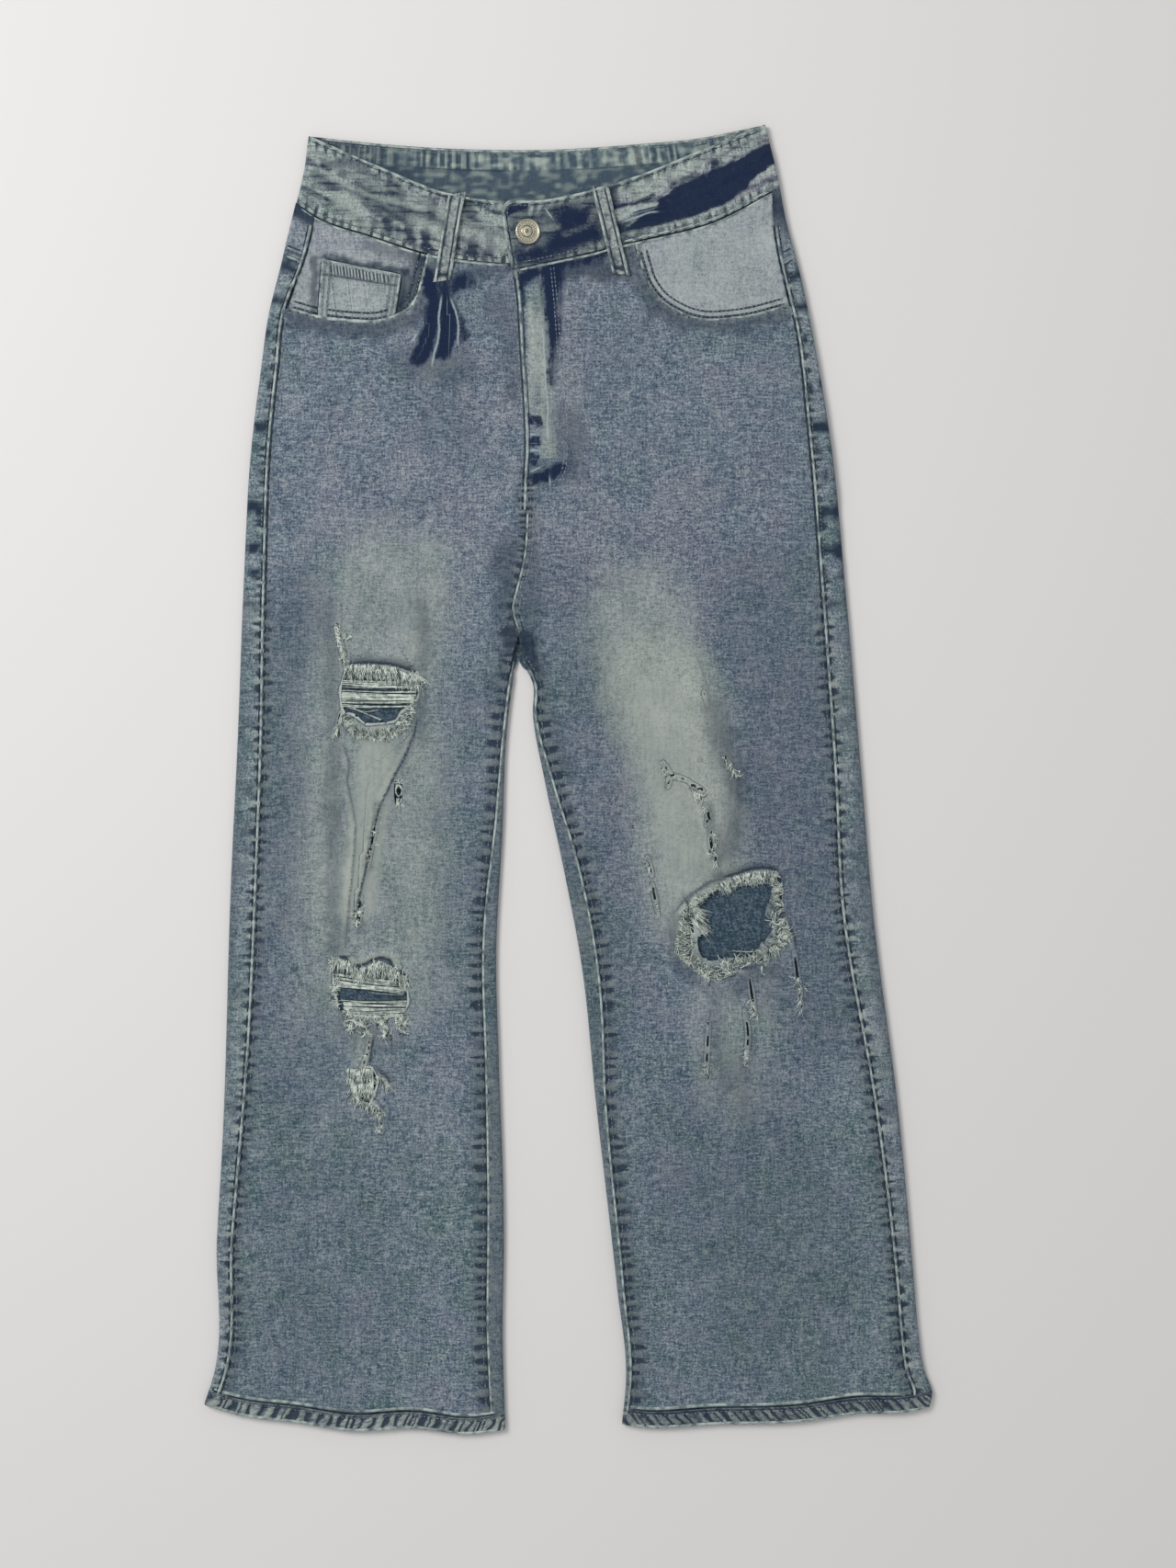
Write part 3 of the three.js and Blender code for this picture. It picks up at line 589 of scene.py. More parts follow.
ridges = dict(
    right=each(ridge, (1.6, 17, -142, 33, -151, -22, -163, -99), (1.2, 16, -125, 145, -130, 90),
               (1.3, 3.2, -96, 369, -100, 326), (1.3, 3.2, -88, 363, -83, 348, -85, 329),
               (0.9, 3, -111, 345, -116, 333), (1.0, 3, -104, 362, -107, 347, -109, 322),
               (0.8, 14, -153, -148, -156, -190)),
    left=each(ridge, (1.6, 18, 94, 104, 127, -22), (1.4, 16, 85, -22, 99, -78),
              (0.9, 16, 127, -155, 121, -218), (0.9, 6, -25, 376, -23, 300, -24, 243),
              (0.7, 8, -6, 362, -4, 300, -2, 243)))


def creaseHeight(name, x, y):
    total = np.zeros(x.shape)
    for mark in creases[name]:
        path, reach = smoothPath(mark["path"], 4), mark["reach"]
        away, along, _ = nearPath(x, y, path, reach * 3)
        length = np.linalg.norm(np.diff(path, axis=0), axis=1).sum()
        taper = smooth(along, 0, 14) * smooth(length - along, 0, 14)
        total += 0.5 * mark["depth"] * taper * (0.6 * bell(away - reach, 0.6 * reach)
                                                - bell(away, 0.35 * reach))
    for mark in ridges[name]:
        away, _, _ = nearPath(x, y, smoothPath(mark["path"], 4), mark["reach"] * 2.5)
        total += mark["height"] * bell(away, mark["reach"])
    return total


paleMarks = dict(
    right=each(stroke, (50, 62, 0.38, -140, 138, -146, 103, -151, 40, -156, -30, -154, -106, -151, -141),
               (6, 16, 0.3, -104, 173, -105, 131, -112, 93), (30, 30, 0.18, -142, 145, -149, 103),
               (16, 34, 0.16, -118, 12, -107, -36, -109, -106),
               (18, 10, 0.55, -146, 33, -151, -22, -161, -96),
               (8, 18, 0.2, -186, 12, -185, -50, -186, -113),
               (4, 7, 0.3, -104, 315, -107, 308, -97, 316, -83, 319), (7, 6, 0.4, -156, -194, -158, -221),
               (30, 50, 0.08, -186, -197, -153, -232, -125, -267)),
    left=each(stroke, (34, 46, 0.46, 52, 128, 60, 100, 72, 61),
              (32, 42, 0.74, 64, 74, 76, 40, 86, -2, 95, -57, 103, -96),
              (14, 24, 0.34, 85, 89, 106, 26, 114, -22), (20, 40, 0.18, 127, -162, 131, -225),
              (1.5, 5, 0.4, -22, 376, -22, 347), (3, 9, 0.3, -27, 366, -25, 345, -28, 318, -26, 279),
              (1, 4, 0.4, -29, 362, -27, 325, -29, 285), (3, 8, 0.55, -20, 352, -18, 300, -15, 250),
              (6, 14, 0.14, -2, 313, 2, 285, -1, 250), (4, 12, 0.14, -29, 201, -27, 166),
              (6, 12, 0.16, 96, -166, 101, -204, 106, -239),
              (8, 12, 0.2, 120, -169, 125, -211, 131, -260), (8, 14, 0.12, 148, -155, 153, -183)))
brightLines = dict(  # crisp pale lines where a fold has been rubbed
    right=[(-96, 369, -98, 353, -99, 336, -102, 323, -104, 312),
           (-90, 367, -86, 357, -84, 348, -84, 336, -83, 328), (-114, 341, -119, 332)],
    left=[(-33, 263, -22, 262), (-32, 250, -20, 250), (-31, 234, -19, 238), (-14, 231, -14, 221),
          (-20, 347, -17, 300, -15, 256)])
inkMarks = dict(
    right=[patch(8, 1, -108, 389, -102, 375, -98, 367, -99, 353, -100, 336, -104, 325, -111, 315, -120,
                 315, -119, 325, -114, 336, -109, 348, -107, 362, -111, 375),
           patch(9, 1, -97, 375, -90, 371, -86, 356, -84, 347, -85, 336, -89, 324, -95, 319, -100, 321,
                 -101, 325, -99, 336, -97, 353),
           patch(5, 0.75, -84, 357, -78, 348, -72, 336, -79, 332, -83, 330, -83, 342),
           stroke(4, 9, 0.7, -108, 383, -93, 376, -77, 379)],
    left=[patch(14, 1, -39, 385, -13, 393, 8, 397, 30, 402, 30, 395, 9, 391, -3, 389, -6, 369, -6, 348,
                -10, 324, -12, 301, -15, 301, -15, 324, -18, 352, -20, 381, -27, 381, -34, 375),
          stroke(4.5, 3, 0.7, -31, 275, -23, 272), stroke(5, 3, 0.8, -31, 257, -25, 257),
          stroke(5, 3, 0.8, -31, 244, -26, 243), stroke(4, 5, 0.75, -29, 229, -13, 232, -4, 238),
          stroke(1.5, 3, 0.6, -37, 383, -34, 362)])
shadeMarks = dict(  # softly darker places: painted shade under the pocket mouths and waistband, in the crotch fold and beside creases, slits and torn edges, with darker wash on the thighs
    right=each(stroke, (5, 9, 0.5, -101, 390, -107, 365, -119, 350, -143, 342, -165, 342, -191, 346, -210,
                        350),
               (4, 8, 0.4, -83, 383, -46, 389), (5, 16, 0.28, -55, 362, -41, 341, -39, 299),
               (6, 16, 0.3, -125, 317, -83, 315), (14, 30, 0.12, -104, 299, -97, 264),
               (8, 34, 0.12, -69, 61, -83, -22, -79, -106, -83, -176),
               (12, 28, 0.2, -202, 145, -223, 61, -223, -36, -225, -106),
               (40, 60, 0.12, -223, -197, -202, -316, -188, -421),
               (2, 10, 0.3, -181, 131, -180, 75, -179, 33, -178, -134), (3, 9, 0.35, -113, 68, -112, 33),
               (2, 8, 0.3, -113, 131, -109, 103, -111, 85), (2, 6, 0.35, -164, 89, -139, 88, -118, 84),
               (4, 18, 0.45, -46, 173, -44, 117, -46, 61), (4, 7, 0.6, -46, 106, -41, 110, -38, 98),
               (4, 12, 0.25, -167, -189, -139, -199), (2, 5, 0.3, -144, -20, -149, -42, -153, -70),
               (2, 5, 0.3, -157, -86, -159, -114)),
    left=each(stroke, (5, 9, 0.45, 47, 404, 53, 381, 65, 361, 88, 347, 127, 345, 162, 352),
              (8, 10, 0.6, -4, 389, 15, 390, 32, 386), (8, 14, 0.35, -4, 275, 5, 257, 0, 236),
              (8, 8, 0.4, -28, 236, -13, 228), (44, 56, 0.2, 162, 131, 177, -2, 191, -106, 197, -162),
              (10, 36, 0.14, -4, 145, 15, 47, 32, -106, 37, -176), (60, 70, 0.15, 127, -281, 162, -386),
              (3, 13, 0.35, 109, 54, 127, 2, 129, -22, 120, -54), (3, 8, 0.5, 116, -75, 135, -77, 156, -75),
              (3, 8, 0.35, 82, -106, 81, -138, 96, -151), (4, 16, 0.4, -32, 173, -31, 131, -34, 103),
              (4, 8, 0.65, -34, 108, -31, 98, -26, 82), (3, 10, 0.22, 110, -158, 114, -197, 120, -232),
              (3, 10, 0.2, 132, -218, 135, -253), (3, 9, 0.3, 127, -161, 135, -150, 155, -148),
              (4, 14, 0.35, -29, 103, -20, 54, -4, 5), (2, 5, 0.35, 106, -22, 110, -40, 112, -62)))
bareMarks = dict(  # worn smooth, with little grain
    right=[stroke(18, 9, 1.0, -142, 29, -151, -22, -161, -96), stroke(8, 9, 0.3, -120, 138, -126, 94)],
    left=[stroke(20, 22, 0.65, 68, 54, 85, -22, 93, -64)])

# ---------- finishes ----------
class Signal:  # a value in a shader, so that sums with it are written as sums
    def __init__(self, tree, socket):
        self.tree, self.socket = tree, socket

    def math(self, operation, other=0.5, clamp=False):
        return addNode(self.tree, "Math", {0: self, 1: other}, operation=operation, use_clamp=clamp)[0]

    def __add__(self, other):
        return self.math("ADD", other)

    def __sub__(self, other):
        return self.math("SUBTRACT", other)

    def __mul__(self, other):
        return self.math("MULTIPLY", other)

    def __abs__(self):
        return self.math("ABSOLUTE")

    def atLeast(self, other):
        return self.math("MAXIMUM", other)

    def clipped(self):
        return self.math("ADD", 0.0, True)

    def spread(self, low, high, toLow=0.0, toHigh=1.0):
        return addNode(self.tree, "MapRange", {0: self, 1: low, 2: high, 3: toLow, 4: toHigh}, clamp=True)[0]


def wire(socket, value):
    if isinstance(value, Signal):
        value.tree.links.new(value.socket, socket)
    else:
        socket.default_value = value


def addNode(tree, kind, inputs, **settings):
    item = tree.nodes.new("ShaderNode" + kind)
    for key, value in settings.items():
        setattr(item, key, value)
    for key, value in inputs.items():
        wire(item.inputs[key], value)
    return [Signal(tree, socket) for socket in item.outputs]


def blend(share, a, b):
    tree = next(value.tree for value in (share, a, b) if isinstance(value, Signal))
    return addNode(tree, "Mix", {0: share, 6: a, 7: b}, data_type="RGBA")[2]


def noiseAt(place, scale, stretch=(1, 1, 1), detail=2.0, roughness=0.55):
    moved = addNode(place.tree, "Mapping", {"Vector": place, "Scale": stretch})[0]
    return addNode(place.tree, "TexNoise", {"Vector": moved, "Scale": scale, "Detail": detail,
                                            "Roughness": roughness})[0]


def apart(vector, kind="XYZ"):
    return addNode(vector.tree, "Separate" + kind, {0: vector})


def rgba(r, g, b):
    return (r, g, b, 1)


def newGroup(name, inputs, outputs):  # an input is named with its kind, or with the value it starts from
    tree = bpy.data.node_groups.new(name, "ShaderNodeTree")
    for label, start in inputs.items():
        kind = start if isinstance(start, str) else "Color" if isinstance(start, tuple) else "Float"
        socket = tree.interface.new_socket(name=label, in_out="INPUT", socket_type="NodeSocket" + kind)
        if not isinstance(start, str):
            socket.default_value = start
    for label in outputs:
        kind = "Color" if label == "Color" else "Float"
        tree.interface.new_socket(name=label, in_out="OUTPUT", socket_type="NodeSocket" + kind)
    given = {socket.name: Signal(tree, socket) for socket in tree.nodes.new("NodeGroupInput").outputs}
    result = tree.nodes.new("NodeGroupOutput").inputs

    def give(**values):
        for label, value in values.items():
            wire(result[label], value)
        return tree
    return tree, given, give


def placeGroup(tree, group, inputs):
    item = tree.nodes.new("ShaderNodeGroup")
    item.node_tree = group
    for key, value in inputs.items():
        wire(item.inputs[key], value)
    return {socket.name: Signal(tree, socket) for socket in item.outputs}


# yarn speckle, slubs along the yarns, blotches and twill lines; Cloth is in millimetres
def makeGrainGroup():
    _, given, give = newGroup("denimGrain", {"Cloth": "Vector"},
                              ["Speckle", "Slub", "Streak", "Blotch", "Crumple", "Twill"])
    cloth = given["Cloth"]
    fine = noiseAt(cloth, 0.75, detail=3.0, roughness=0.75)
    warp = noiseAt(cloth, 0.8, (1, 0.22, 1), 1.5)
    weft = noiseAt(cloth, 0.7, (0.2, 1, 1), 1.5)
    x, y, _ = apart(cloth)
    return give(Speckle=(fine * 0.62 + (warp + weft) * 0.19).spread(0.385, 0.615),
                Slub=weft.spread(0.3, 0.72), Streak=noiseAt(cloth, 0.42, (1, 0.09, 1), 3.0),
                Crumple=noiseAt(cloth, 0.3, detail=3.0, roughness=0.6),
                Blotch=noiseAt(cloth, 0.035, detail=4.0, roughness=0.6).spread(0.32, 0.68),
                Twill=(x * 4.6 + y * 3.4).math("SINE").spread(-1, 1))


# dark and pale ticks along a seam drawn into waves; Seam holds distance, wave count and strength
def makeSeamGroup():
    tree, given, give = newGroup("seamWaves", {"Seam": "Vector", "Speckle": 0.5}, ["Dark", "Pale", "Height"])
    away, count, strength = apart(given["Seam"])
    place = addNode(tree, "CombineXYZ", {0: count, 1: away * 0.35})[0]
    uneven = noiseAt(place, 0.9, detail=1.0)
    bend = (noiseAt(place, 2.3, detail=1.0) - 0.5) * 0.5
    wave = ((count + bend) * (2 * math.pi)).math("COSINE")
    rough = (given["Speckle"] - 0.5) * 0.35
    near = (away + rough).spread(uneven.spread(0.35, 0.65, 0.55, 1.15), 0.25)
    force = near * uneven.spread(0.34, 0.58, 0.5, 1.7) * strength
    return give(Dark=((wave * -1.0 + rough).spread(-0.1, 0.6) * force).clipped(),
                Pale=(wave.spread(0.0, 0.8) * force).clipped(), Height=wave * force)


# bleached edge of a torn place with a painted shadow rim round it, and the painted shade in a crease with
# painted light on its lit side; each vector holds distance and strength
def makeEdgeGroup():
    _, given, give = newGroup("tornEdgesAndCreaseShade", {"Torn": "Vector", "Fold": "Vector", "Speckle": 0.5, "Slub": 0.5},
                              ["Bleach", "Dark", "Pale", "Bright", "Height"])
    away, bleach, rimStrength = apart(given["Torn"])
    fold, strength, _ = apart(given["Fold"])
    rough = given["Speckle"] - 0.5
    away = away + rough * 0.35
    # painted shadow: a dark rim round a torn edge
    rim = abs(away - 1.15).spread(0.45, 0.05) * rimStrength
    line, depth = fold + rough * 1.6, strength.atLeast(0.0)
    # painted shade in a crease: a dark line and a softer shadow to one side; Pale below is painted light on
    # its lit side
    dark = abs(line).spread(1.5, 0.1) * depth * given["Slub"].spread(0.2, 0.6, 0.45, 1.0)
    soft = abs(line - 1.8).spread(6.5, 0.0) * depth
    thin = abs(fold + rough * 0.5).spread(1.05, 0.3)
    return give(Bleach=(away.spread(1.05, 0.75) * bleach).clipped(),
                Dark=rim.atLeast(dark + soft * 0.45).clipped(),
                Pale=(abs(line + 3.0).spread(3.0, 0.0) * depth).clipped(),
                Bright=(thin * strength * -1.0).clipped(), Height=dark * -1.0)


# colour of washed denim from its grain and the wear and painted shade laid on the piece
def makeWashGroup():
    grainInputs = {label: 0.5 for label in ("Speckle", "Slub", "Streak", "Blotch", "Crumple", "Grain")}
    _, given, give = newGroup("denimWash", {
        "Base": rgba(0.128, 0.178, 0.238), "Lilac": rgba(0.165, 0.188, 0.252),
        "Green": rgba(0.092, 0.165, 0.178),
        "Faded": rgba(0.46, 0.5, 0.45), "Ink": rgba(0.005, 0.016, 0.052), "Shade": rgba(0.018, 0.034, 0.062),
        "Reverse": rgba(0.022, 0.048, 0.078), "Wash": "Color", "Shade and wear": "Color", "Reverse side": 0.0,
        "Dark": 0.0, "Pale": 0.0,
        "Bright": 0.0, "Bleach": 0.0, **grainInputs, "Crumpled": 0.1, "Streaked": 0.0},
                              ["Color", "Height", "Roughness"])
    pale, ink, tint = apart(given["Wash"], "Color")
    shade, bare, streaky = apart(given["Shade and wear"], "Color")
    speckle, slub, streak, crumple = (given[label] for label in ("Speckle", "Slub", "Streak", "Crumple"))
    faded, crumpled, streaked = given["Faded"], given["Crumpled"], given["Streaked"]
    cloudy, rough = given["Blotch"] - 0.5, speckle - 0.5
    tintNow = (tint + cloudy * 0.7).clipped()
    body = blend(tintNow.spread(0.5, 1.0), given["Base"], given["Lilac"])
    body = blend(tintNow.spread(0.5, 0.0), body, given["Green"])
    paleNow = (pale + cloudy * 0.16 + given["Pale"] * 0.42).clipped()
    body = blend(paleNow, body, faded)
    grain = given["Grain"] * bare.spread(0, 1, 1, 0.12) * paleNow.spread(0, 0.6, 1.15, 0.7)
    lighter, darker = blend(0.5, body, rgba(0.66, 0.7, 0.74)), blend(0.85, body, rgba(0.012, 0.026, 0.07))
    body = blend(speckle.spread(0.5, 1.0) * grain, body, lighter)
    body = blend(speckle.spread(0.52, 0.0) * grain, body, darker)
    body = blend(((slub - 0.5) * grain * 0.4).atLeast(0.0), body, rgba(0.5, 0.54, 0.54))
    body = blend(given["Bleach"], body, rgba(0.55, 0.6, 0.56))
    body = blend(crumple.spread(0.5, 0.72) * crumpled, body, faded)
    body = blend(streak.spread(0.52, 0.66) * streaked, body, faded)
    worn = crumple.spread(0.5, 0.3) * crumpled + streak.spread(0.48, 0.34) * streaked
    # darkening towards Shade: painted shade in creases, recesses and round torn edges, with darker wash and
    # seam ticks
    shadeNow = (given["Dark"] * 0.9).atLeast(shade + worn)
    ragged = rough * 0.4
    combed = (streak - 0.5) * streaky.spread(0, 1, 0.15, 1.1)
    shadeNow = (shadeNow + ragged * shadeNow * (shadeNow * -1.0 + 1.0) * 3.0).clipped()
    body = blend(shadeNow, body, given["Shade"])
    room = ink * (ink * -1.0 + 1.0) * 4.0 + 0.12
    inkNow = (ink + (ragged * 1.6 + combed) * room).spread(0.28, 0.78, 0.0, 0.98)
    body = blend(inkNow * ink.math("GREATER_THAN", 0.02), body, given["Ink"])
    body = blend(given["Bright"], body, rgba(0.4, 0.48, 0.5))
    reverse = blend(speckle.spread(0.35, 0.9, 0, 0.8), given["Reverse"], rgba(0.16, 0.22, 0.26))
    reverse = blend((pale + given["Pale"] * 0.55).clipped(), reverse, faded)
    reverse = blend((ink.atLeast(given["Dark"] * 0.6) + ragged * 0.7).clipped(), reverse, given["Shade"])
    return give(Color=blend(given["Reverse side"], body, reverse), Height=speckle * 0.7 + slub * 0.3,
                Roughness=speckle.spread(0, 1, 0.97, 0.86))


grainGroup, seamGroup = makeGrainGroup(), makeSeamGroup()
edgeGroup, washGroup = makeEdgeGroup(), makeWashGroup()


def newMaterial(name, roughness=0.92, metallic=0.0, sheen=0.0, specular=0.25, color=(0.5, 0.5, 0.5)):
    material = bpy.data.materials.new(name)
    material.use_nodes = True
    shader = material.node_tree.nodes["Principled BSDF"]
    for socket, value in (("Roughness", roughness), ("Metallic", metallic), ("Sheen Weight", sheen),
                          ("Specular IOR Level", specular), ("Base Color", rgba(*color))):
        shader.inputs[socket].default_value = value
    material.diffuse_color = rgba(*color)
    return material, material.node_tree, shader


def bumpTo(shader, height, strength, distance):
    bump = addNode(height.tree, "Bump", {"Strength": strength, "Distance": distance, "Height": height})[0]
    wire(shader.inputs["Normal"], bump)


def denimMaterial(name, grain=0.5, crumpled=0.15, streaked=0.1, **colors):
    material, tree, shader = newMaterial(name, sheen=0.1, color=(0.17, 0.21, 0.27))

    def painted(layer):
        item = tree.nodes.new("ShaderNodeAttribute")
        item.attribute_name = layer
        return {socket.name: Signal(tree, socket) for socket in item.outputs}
    yarn = placeGroup(tree, grainGroup, {"Cloth": painted("cloth")["Vector"]})
    seam = placeGroup(tree, seamGroup, {"Seam": painted("seam")["Vector"], "Speckle": yarn["Speckle"]})
    edges = placeGroup(tree, edgeGroup, {"Torn": painted("torn")["Vector"], "Fold": painted("fold")["Vector"],
                                         "Speckle": yarn["Speckle"], "Slub": yarn["Slub"]})
    layer = painted("wash")
    wash = placeGroup(tree, washGroup, {
        "Wash": layer["Color"], "Reverse side": layer["Alpha"], "Shade and wear": painted("shade_and_wear")["Color"],
        **{label: yarn[label] for label in ("Speckle", "Slub", "Streak", "Blotch", "Crumple")},
        "Dark": seam["Dark"].atLeast(edges["Dark"]), "Pale": seam["Pale"].atLeast(edges["Pale"]),
        "Bleach": edges["Bleach"], "Bright": edges["Bright"], "Grain": grain, "Crumpled": crumpled,
        "Streaked": streaked,
        **{label: rgba(*color) for label, color in colors.items()}})
    wire(shader.inputs["Base Color"], wash["Color"])
    wire(shader.inputs["Roughness"], wash["Roughness"])
    waves = (seam["Height"] + edges["Height"]) * 1.6
    bumpTo(shader, wash["Height"] * 0.8 + yarn["Twill"] * 0.25 + waves, 0.55, 0.0005)
    return material


def threadMaterial(name, dark, light, scale, roughness=0.85):
    material, tree, shader = newMaterial(name, roughness=roughness, sheen=0.1, color=light)
    place = Signal(tree, tree.nodes.new("ShaderNodeTexCoord").outputs["Object"])
    wire(shader.inputs["Base Color"], blend(noiseAt(place, scale).spread(0.36, 0.62), rgba(*dark),
                                            rgba(*light)))
    bumpTo(shader, noiseAt(place, scale * 6, detail=1.0), 0.4, 0.0002)
    return material


# worn pale metal, darker in its hollows, with rings and a circle of short marks round the middle
def makeButtonMetal(at):
    material, tree, shader = newMaterial("worn button metal", roughness=0.34, metallic=1.0, specular=0.5,
                                         color=(0.8, 0.76, 0.62))
    place = Signal(tree, tree.nodes.new("ShaderNodeTexCoord").outputs["Object"])
    patchy = noiseAt(place, 420, detail=3.0)
    x, y, _ = apart(place)
    across, up = x - at["x"] * mm, y - at["y"] * mm
    away = (across * across + up * up).math("SQRT") * (1 / (at["radius"] * mm))  # share of the radius
    turned = (up.math("ARCTAN2", across) * float(at["marks"])).math("SINE")
    marks = turned.spread(0.0, 0.5) * abs(away - 0.66).spread(0.16, 0.1)
    inner, outer = abs(away - 0.45).spread(0.08, 0.02), abs(away - 0.86).spread(0.05, 0.01)
    rings = inner.atLeast(outer).atLeast(away.spread(0.2, 0.12))
    worn = blend(patchy.spread(0.3, 0.7), rgba(0.6, 0.55, 0.4), rgba(0.95, 0.92, 0.78))
    wire(shader.inputs["Base Color"], blend((marks * 0.75).atLeast(rings * 0.9), worn,
                                            rgba(0.09, 0.085, 0.06)))
    wire(shader.inputs["Roughness"], patchy.spread(0.3, 0.7, 0.55, 0.36))
    bumpTo(shader, noiseAt(place, 1500), 0.25, 0.0002)
    return material


materials = dict(
    washed=denimMaterial("washed denim", grain=0.9, crumpled=0.16),
    seams=denimMaterial("seam denim", grain=0.7, crumpled=0.7, Base=(0.135, 0.18, 0.205),
                        Reverse=(0.05, 0.085, 0.115)),
    band=denimMaterial("waistband denim", grain=1.25, crumpled=0.16, streaked=0.38,
                       Base=(0.215, 0.255, 0.275), Lilac=(0.245, 0.24, 0.305), Green=(0.18, 0.25, 0.24),
                       Faded=(0.46, 0.54, 0.48), Reverse=(0.062, 0.105, 0.14)),
    facing=denimMaterial("pale facing denim", grain=0.7, crumpled=0.16, Base=(0.275, 0.312, 0.335),
                         Lilac=(0.265, 0.287, 0.335), Green=(0.23, 0.288, 0.29), Faded=(0.46, 0.52, 0.51)),
    lining=denimMaterial("dark lining denim", grain=0.5, Base=(0.05, 0.085, 0.13)))
for key, name, dark, light, scale in (
        ("rolled", "worn rolled edge", (0.12, 0.165, 0.18), (0.46, 0.54, 0.51), 150),
        ("stitch", "stitching thread", (0.1, 0.125, 0.17), (0.36, 0.4, 0.46), 260),
        ("seamStitch", "worn seam thread", (0.06, 0.085, 0.11), (0.3, 0.36, 0.4), 320),
        ("darkStitch", "shaded stitching thread", (0.008, 0.018, 0.03), (0.1, 0.13, 0.17), 260),
        ("fray", "frayed cotton", (0.36, 0.43, 0.4), (0.82, 0.88, 0.8), 300),
        # painted shade: dark strips that stand for the shade in the seam grooves
        ("seamShadow", "painted seam shadow", (0.006, 0.014, 0.028), (0.035, 0.055, 0.08), 200),
        # partly painted shade: dark yarns that also stand for the shade between white threads
        ("indigoAndShadowFray", "frayed indigo yarn with painted shade", (0.012, 0.028, 0.035), (0.09, 0.13, 0.14), 260),
        ("tape", "zip tape", (0.06, 0.07, 0.085), (0.12, 0.13, 0.15), 900)):
    materials[key] = threadMaterial(name, dark, light, scale, 0.92)
print("finishes made")



# ---------- fronts ----------
frontSettings = dict(thickness=1.1, columns=108, legStep=2.7, hipStep=1.75, mottle=0.1)


def snapToTears(x, y, lines):  # moves points near a torn edge onto it
    move, best = np.zeros((2,) + x.shape), np.full(x.shape, 1.25)
    for line in lines:
        for a, b in zip(line[:-1], line[1:]):
            near = (np.abs(x - a[0]) < 12) & (np.abs(y - a[1]) < 12)
            if not near.any():
                continue
            d = b - a
            t = np.clip(((x[near] - a[0]) * d[0] + (y[near] - a[1]) * d[1]) / (d @ d), 0, 1)
            way = np.stack([a[0] + t * d[0] - x[near], a[1] + t * d[1] - y[near]])
            r = np.hypot(*way)
            closer = r < best[near]
            at = tuple(np.argwhere(near)[closer].T)
            best[at], move[(slice(None), *at)] = r[closer], way[:, closer]
    return x + move[0], y + move[1]


def slitOutline(mark):
    line = smoothPath(mark["path"], 2.5)
    ahead = np.gradient(line, axis=0)
    side = np.stack([-ahead[:, 1], ahead[:, 0]], 1) / np.linalg.norm(ahead, axis=1, keepdims=True)
    half = 0.38 * mark["width"] * np.sin(np.linspace(0.35, np.pi - 0.35, len(line)))[:, None]
    return np.concatenate([line + side * half, (line - side * half)[::-1]]).tolist()


pocketScoops = dict(
    right=[(-105, 400), (-110, 381), (-114, 367), (-123, 356), (-143, 348), (-166, 348), (-190, 351),
           (-212, 357)],
    left=[(50, 409), (55, 391), (60, 377), (71, 363), (88, 353), (103, 349), (117, 349), (140, 352),
          (166, 359)])
scoopCorners = dict(right=[(-240, 361), (-240, 520), (-104, 520), (-104, 420)],
                    left=[(200, 370), (200, 520), (49, 520), (49, 430)])


def seamPath(leg, kind, low, high, offset=0.0):  # a seam's line between two heights, moved outwards by offset
    y = np.arange(low, high, 2.0)
    if kind == "centre":
        x = centreFront(y) + offset
    else:
        x = dict(side=sideSeam, inseam=inseam)[kind](leg, y) + leg["across"] * offset
    return np.stack([x, y], 1)


def waistLine(leg):
    x = np.arange(-210, 168, 4.0)
    return np.stack([x, leg["waistSeam"](x)], 1)


def seam(path, reach, period, strength, seed):  # a line that ripples the cloth beside it
    return dict(path=path, reach=reach, period=period, strength=strength, seed=seed)


# lines of painted shade in the creases, with painted light on their lit sides, and rubbed pale lines
def creaseLines(name):
    return ([dict(path=mark["path"], strength=0.45 * mark["depth"] ** 1.8, turn=mark["turn"])
             for mark in creases[name]]
            + [dict(path=pairs(*xy), strength=-0.75, taper=7) for xy in brightLines[name]])


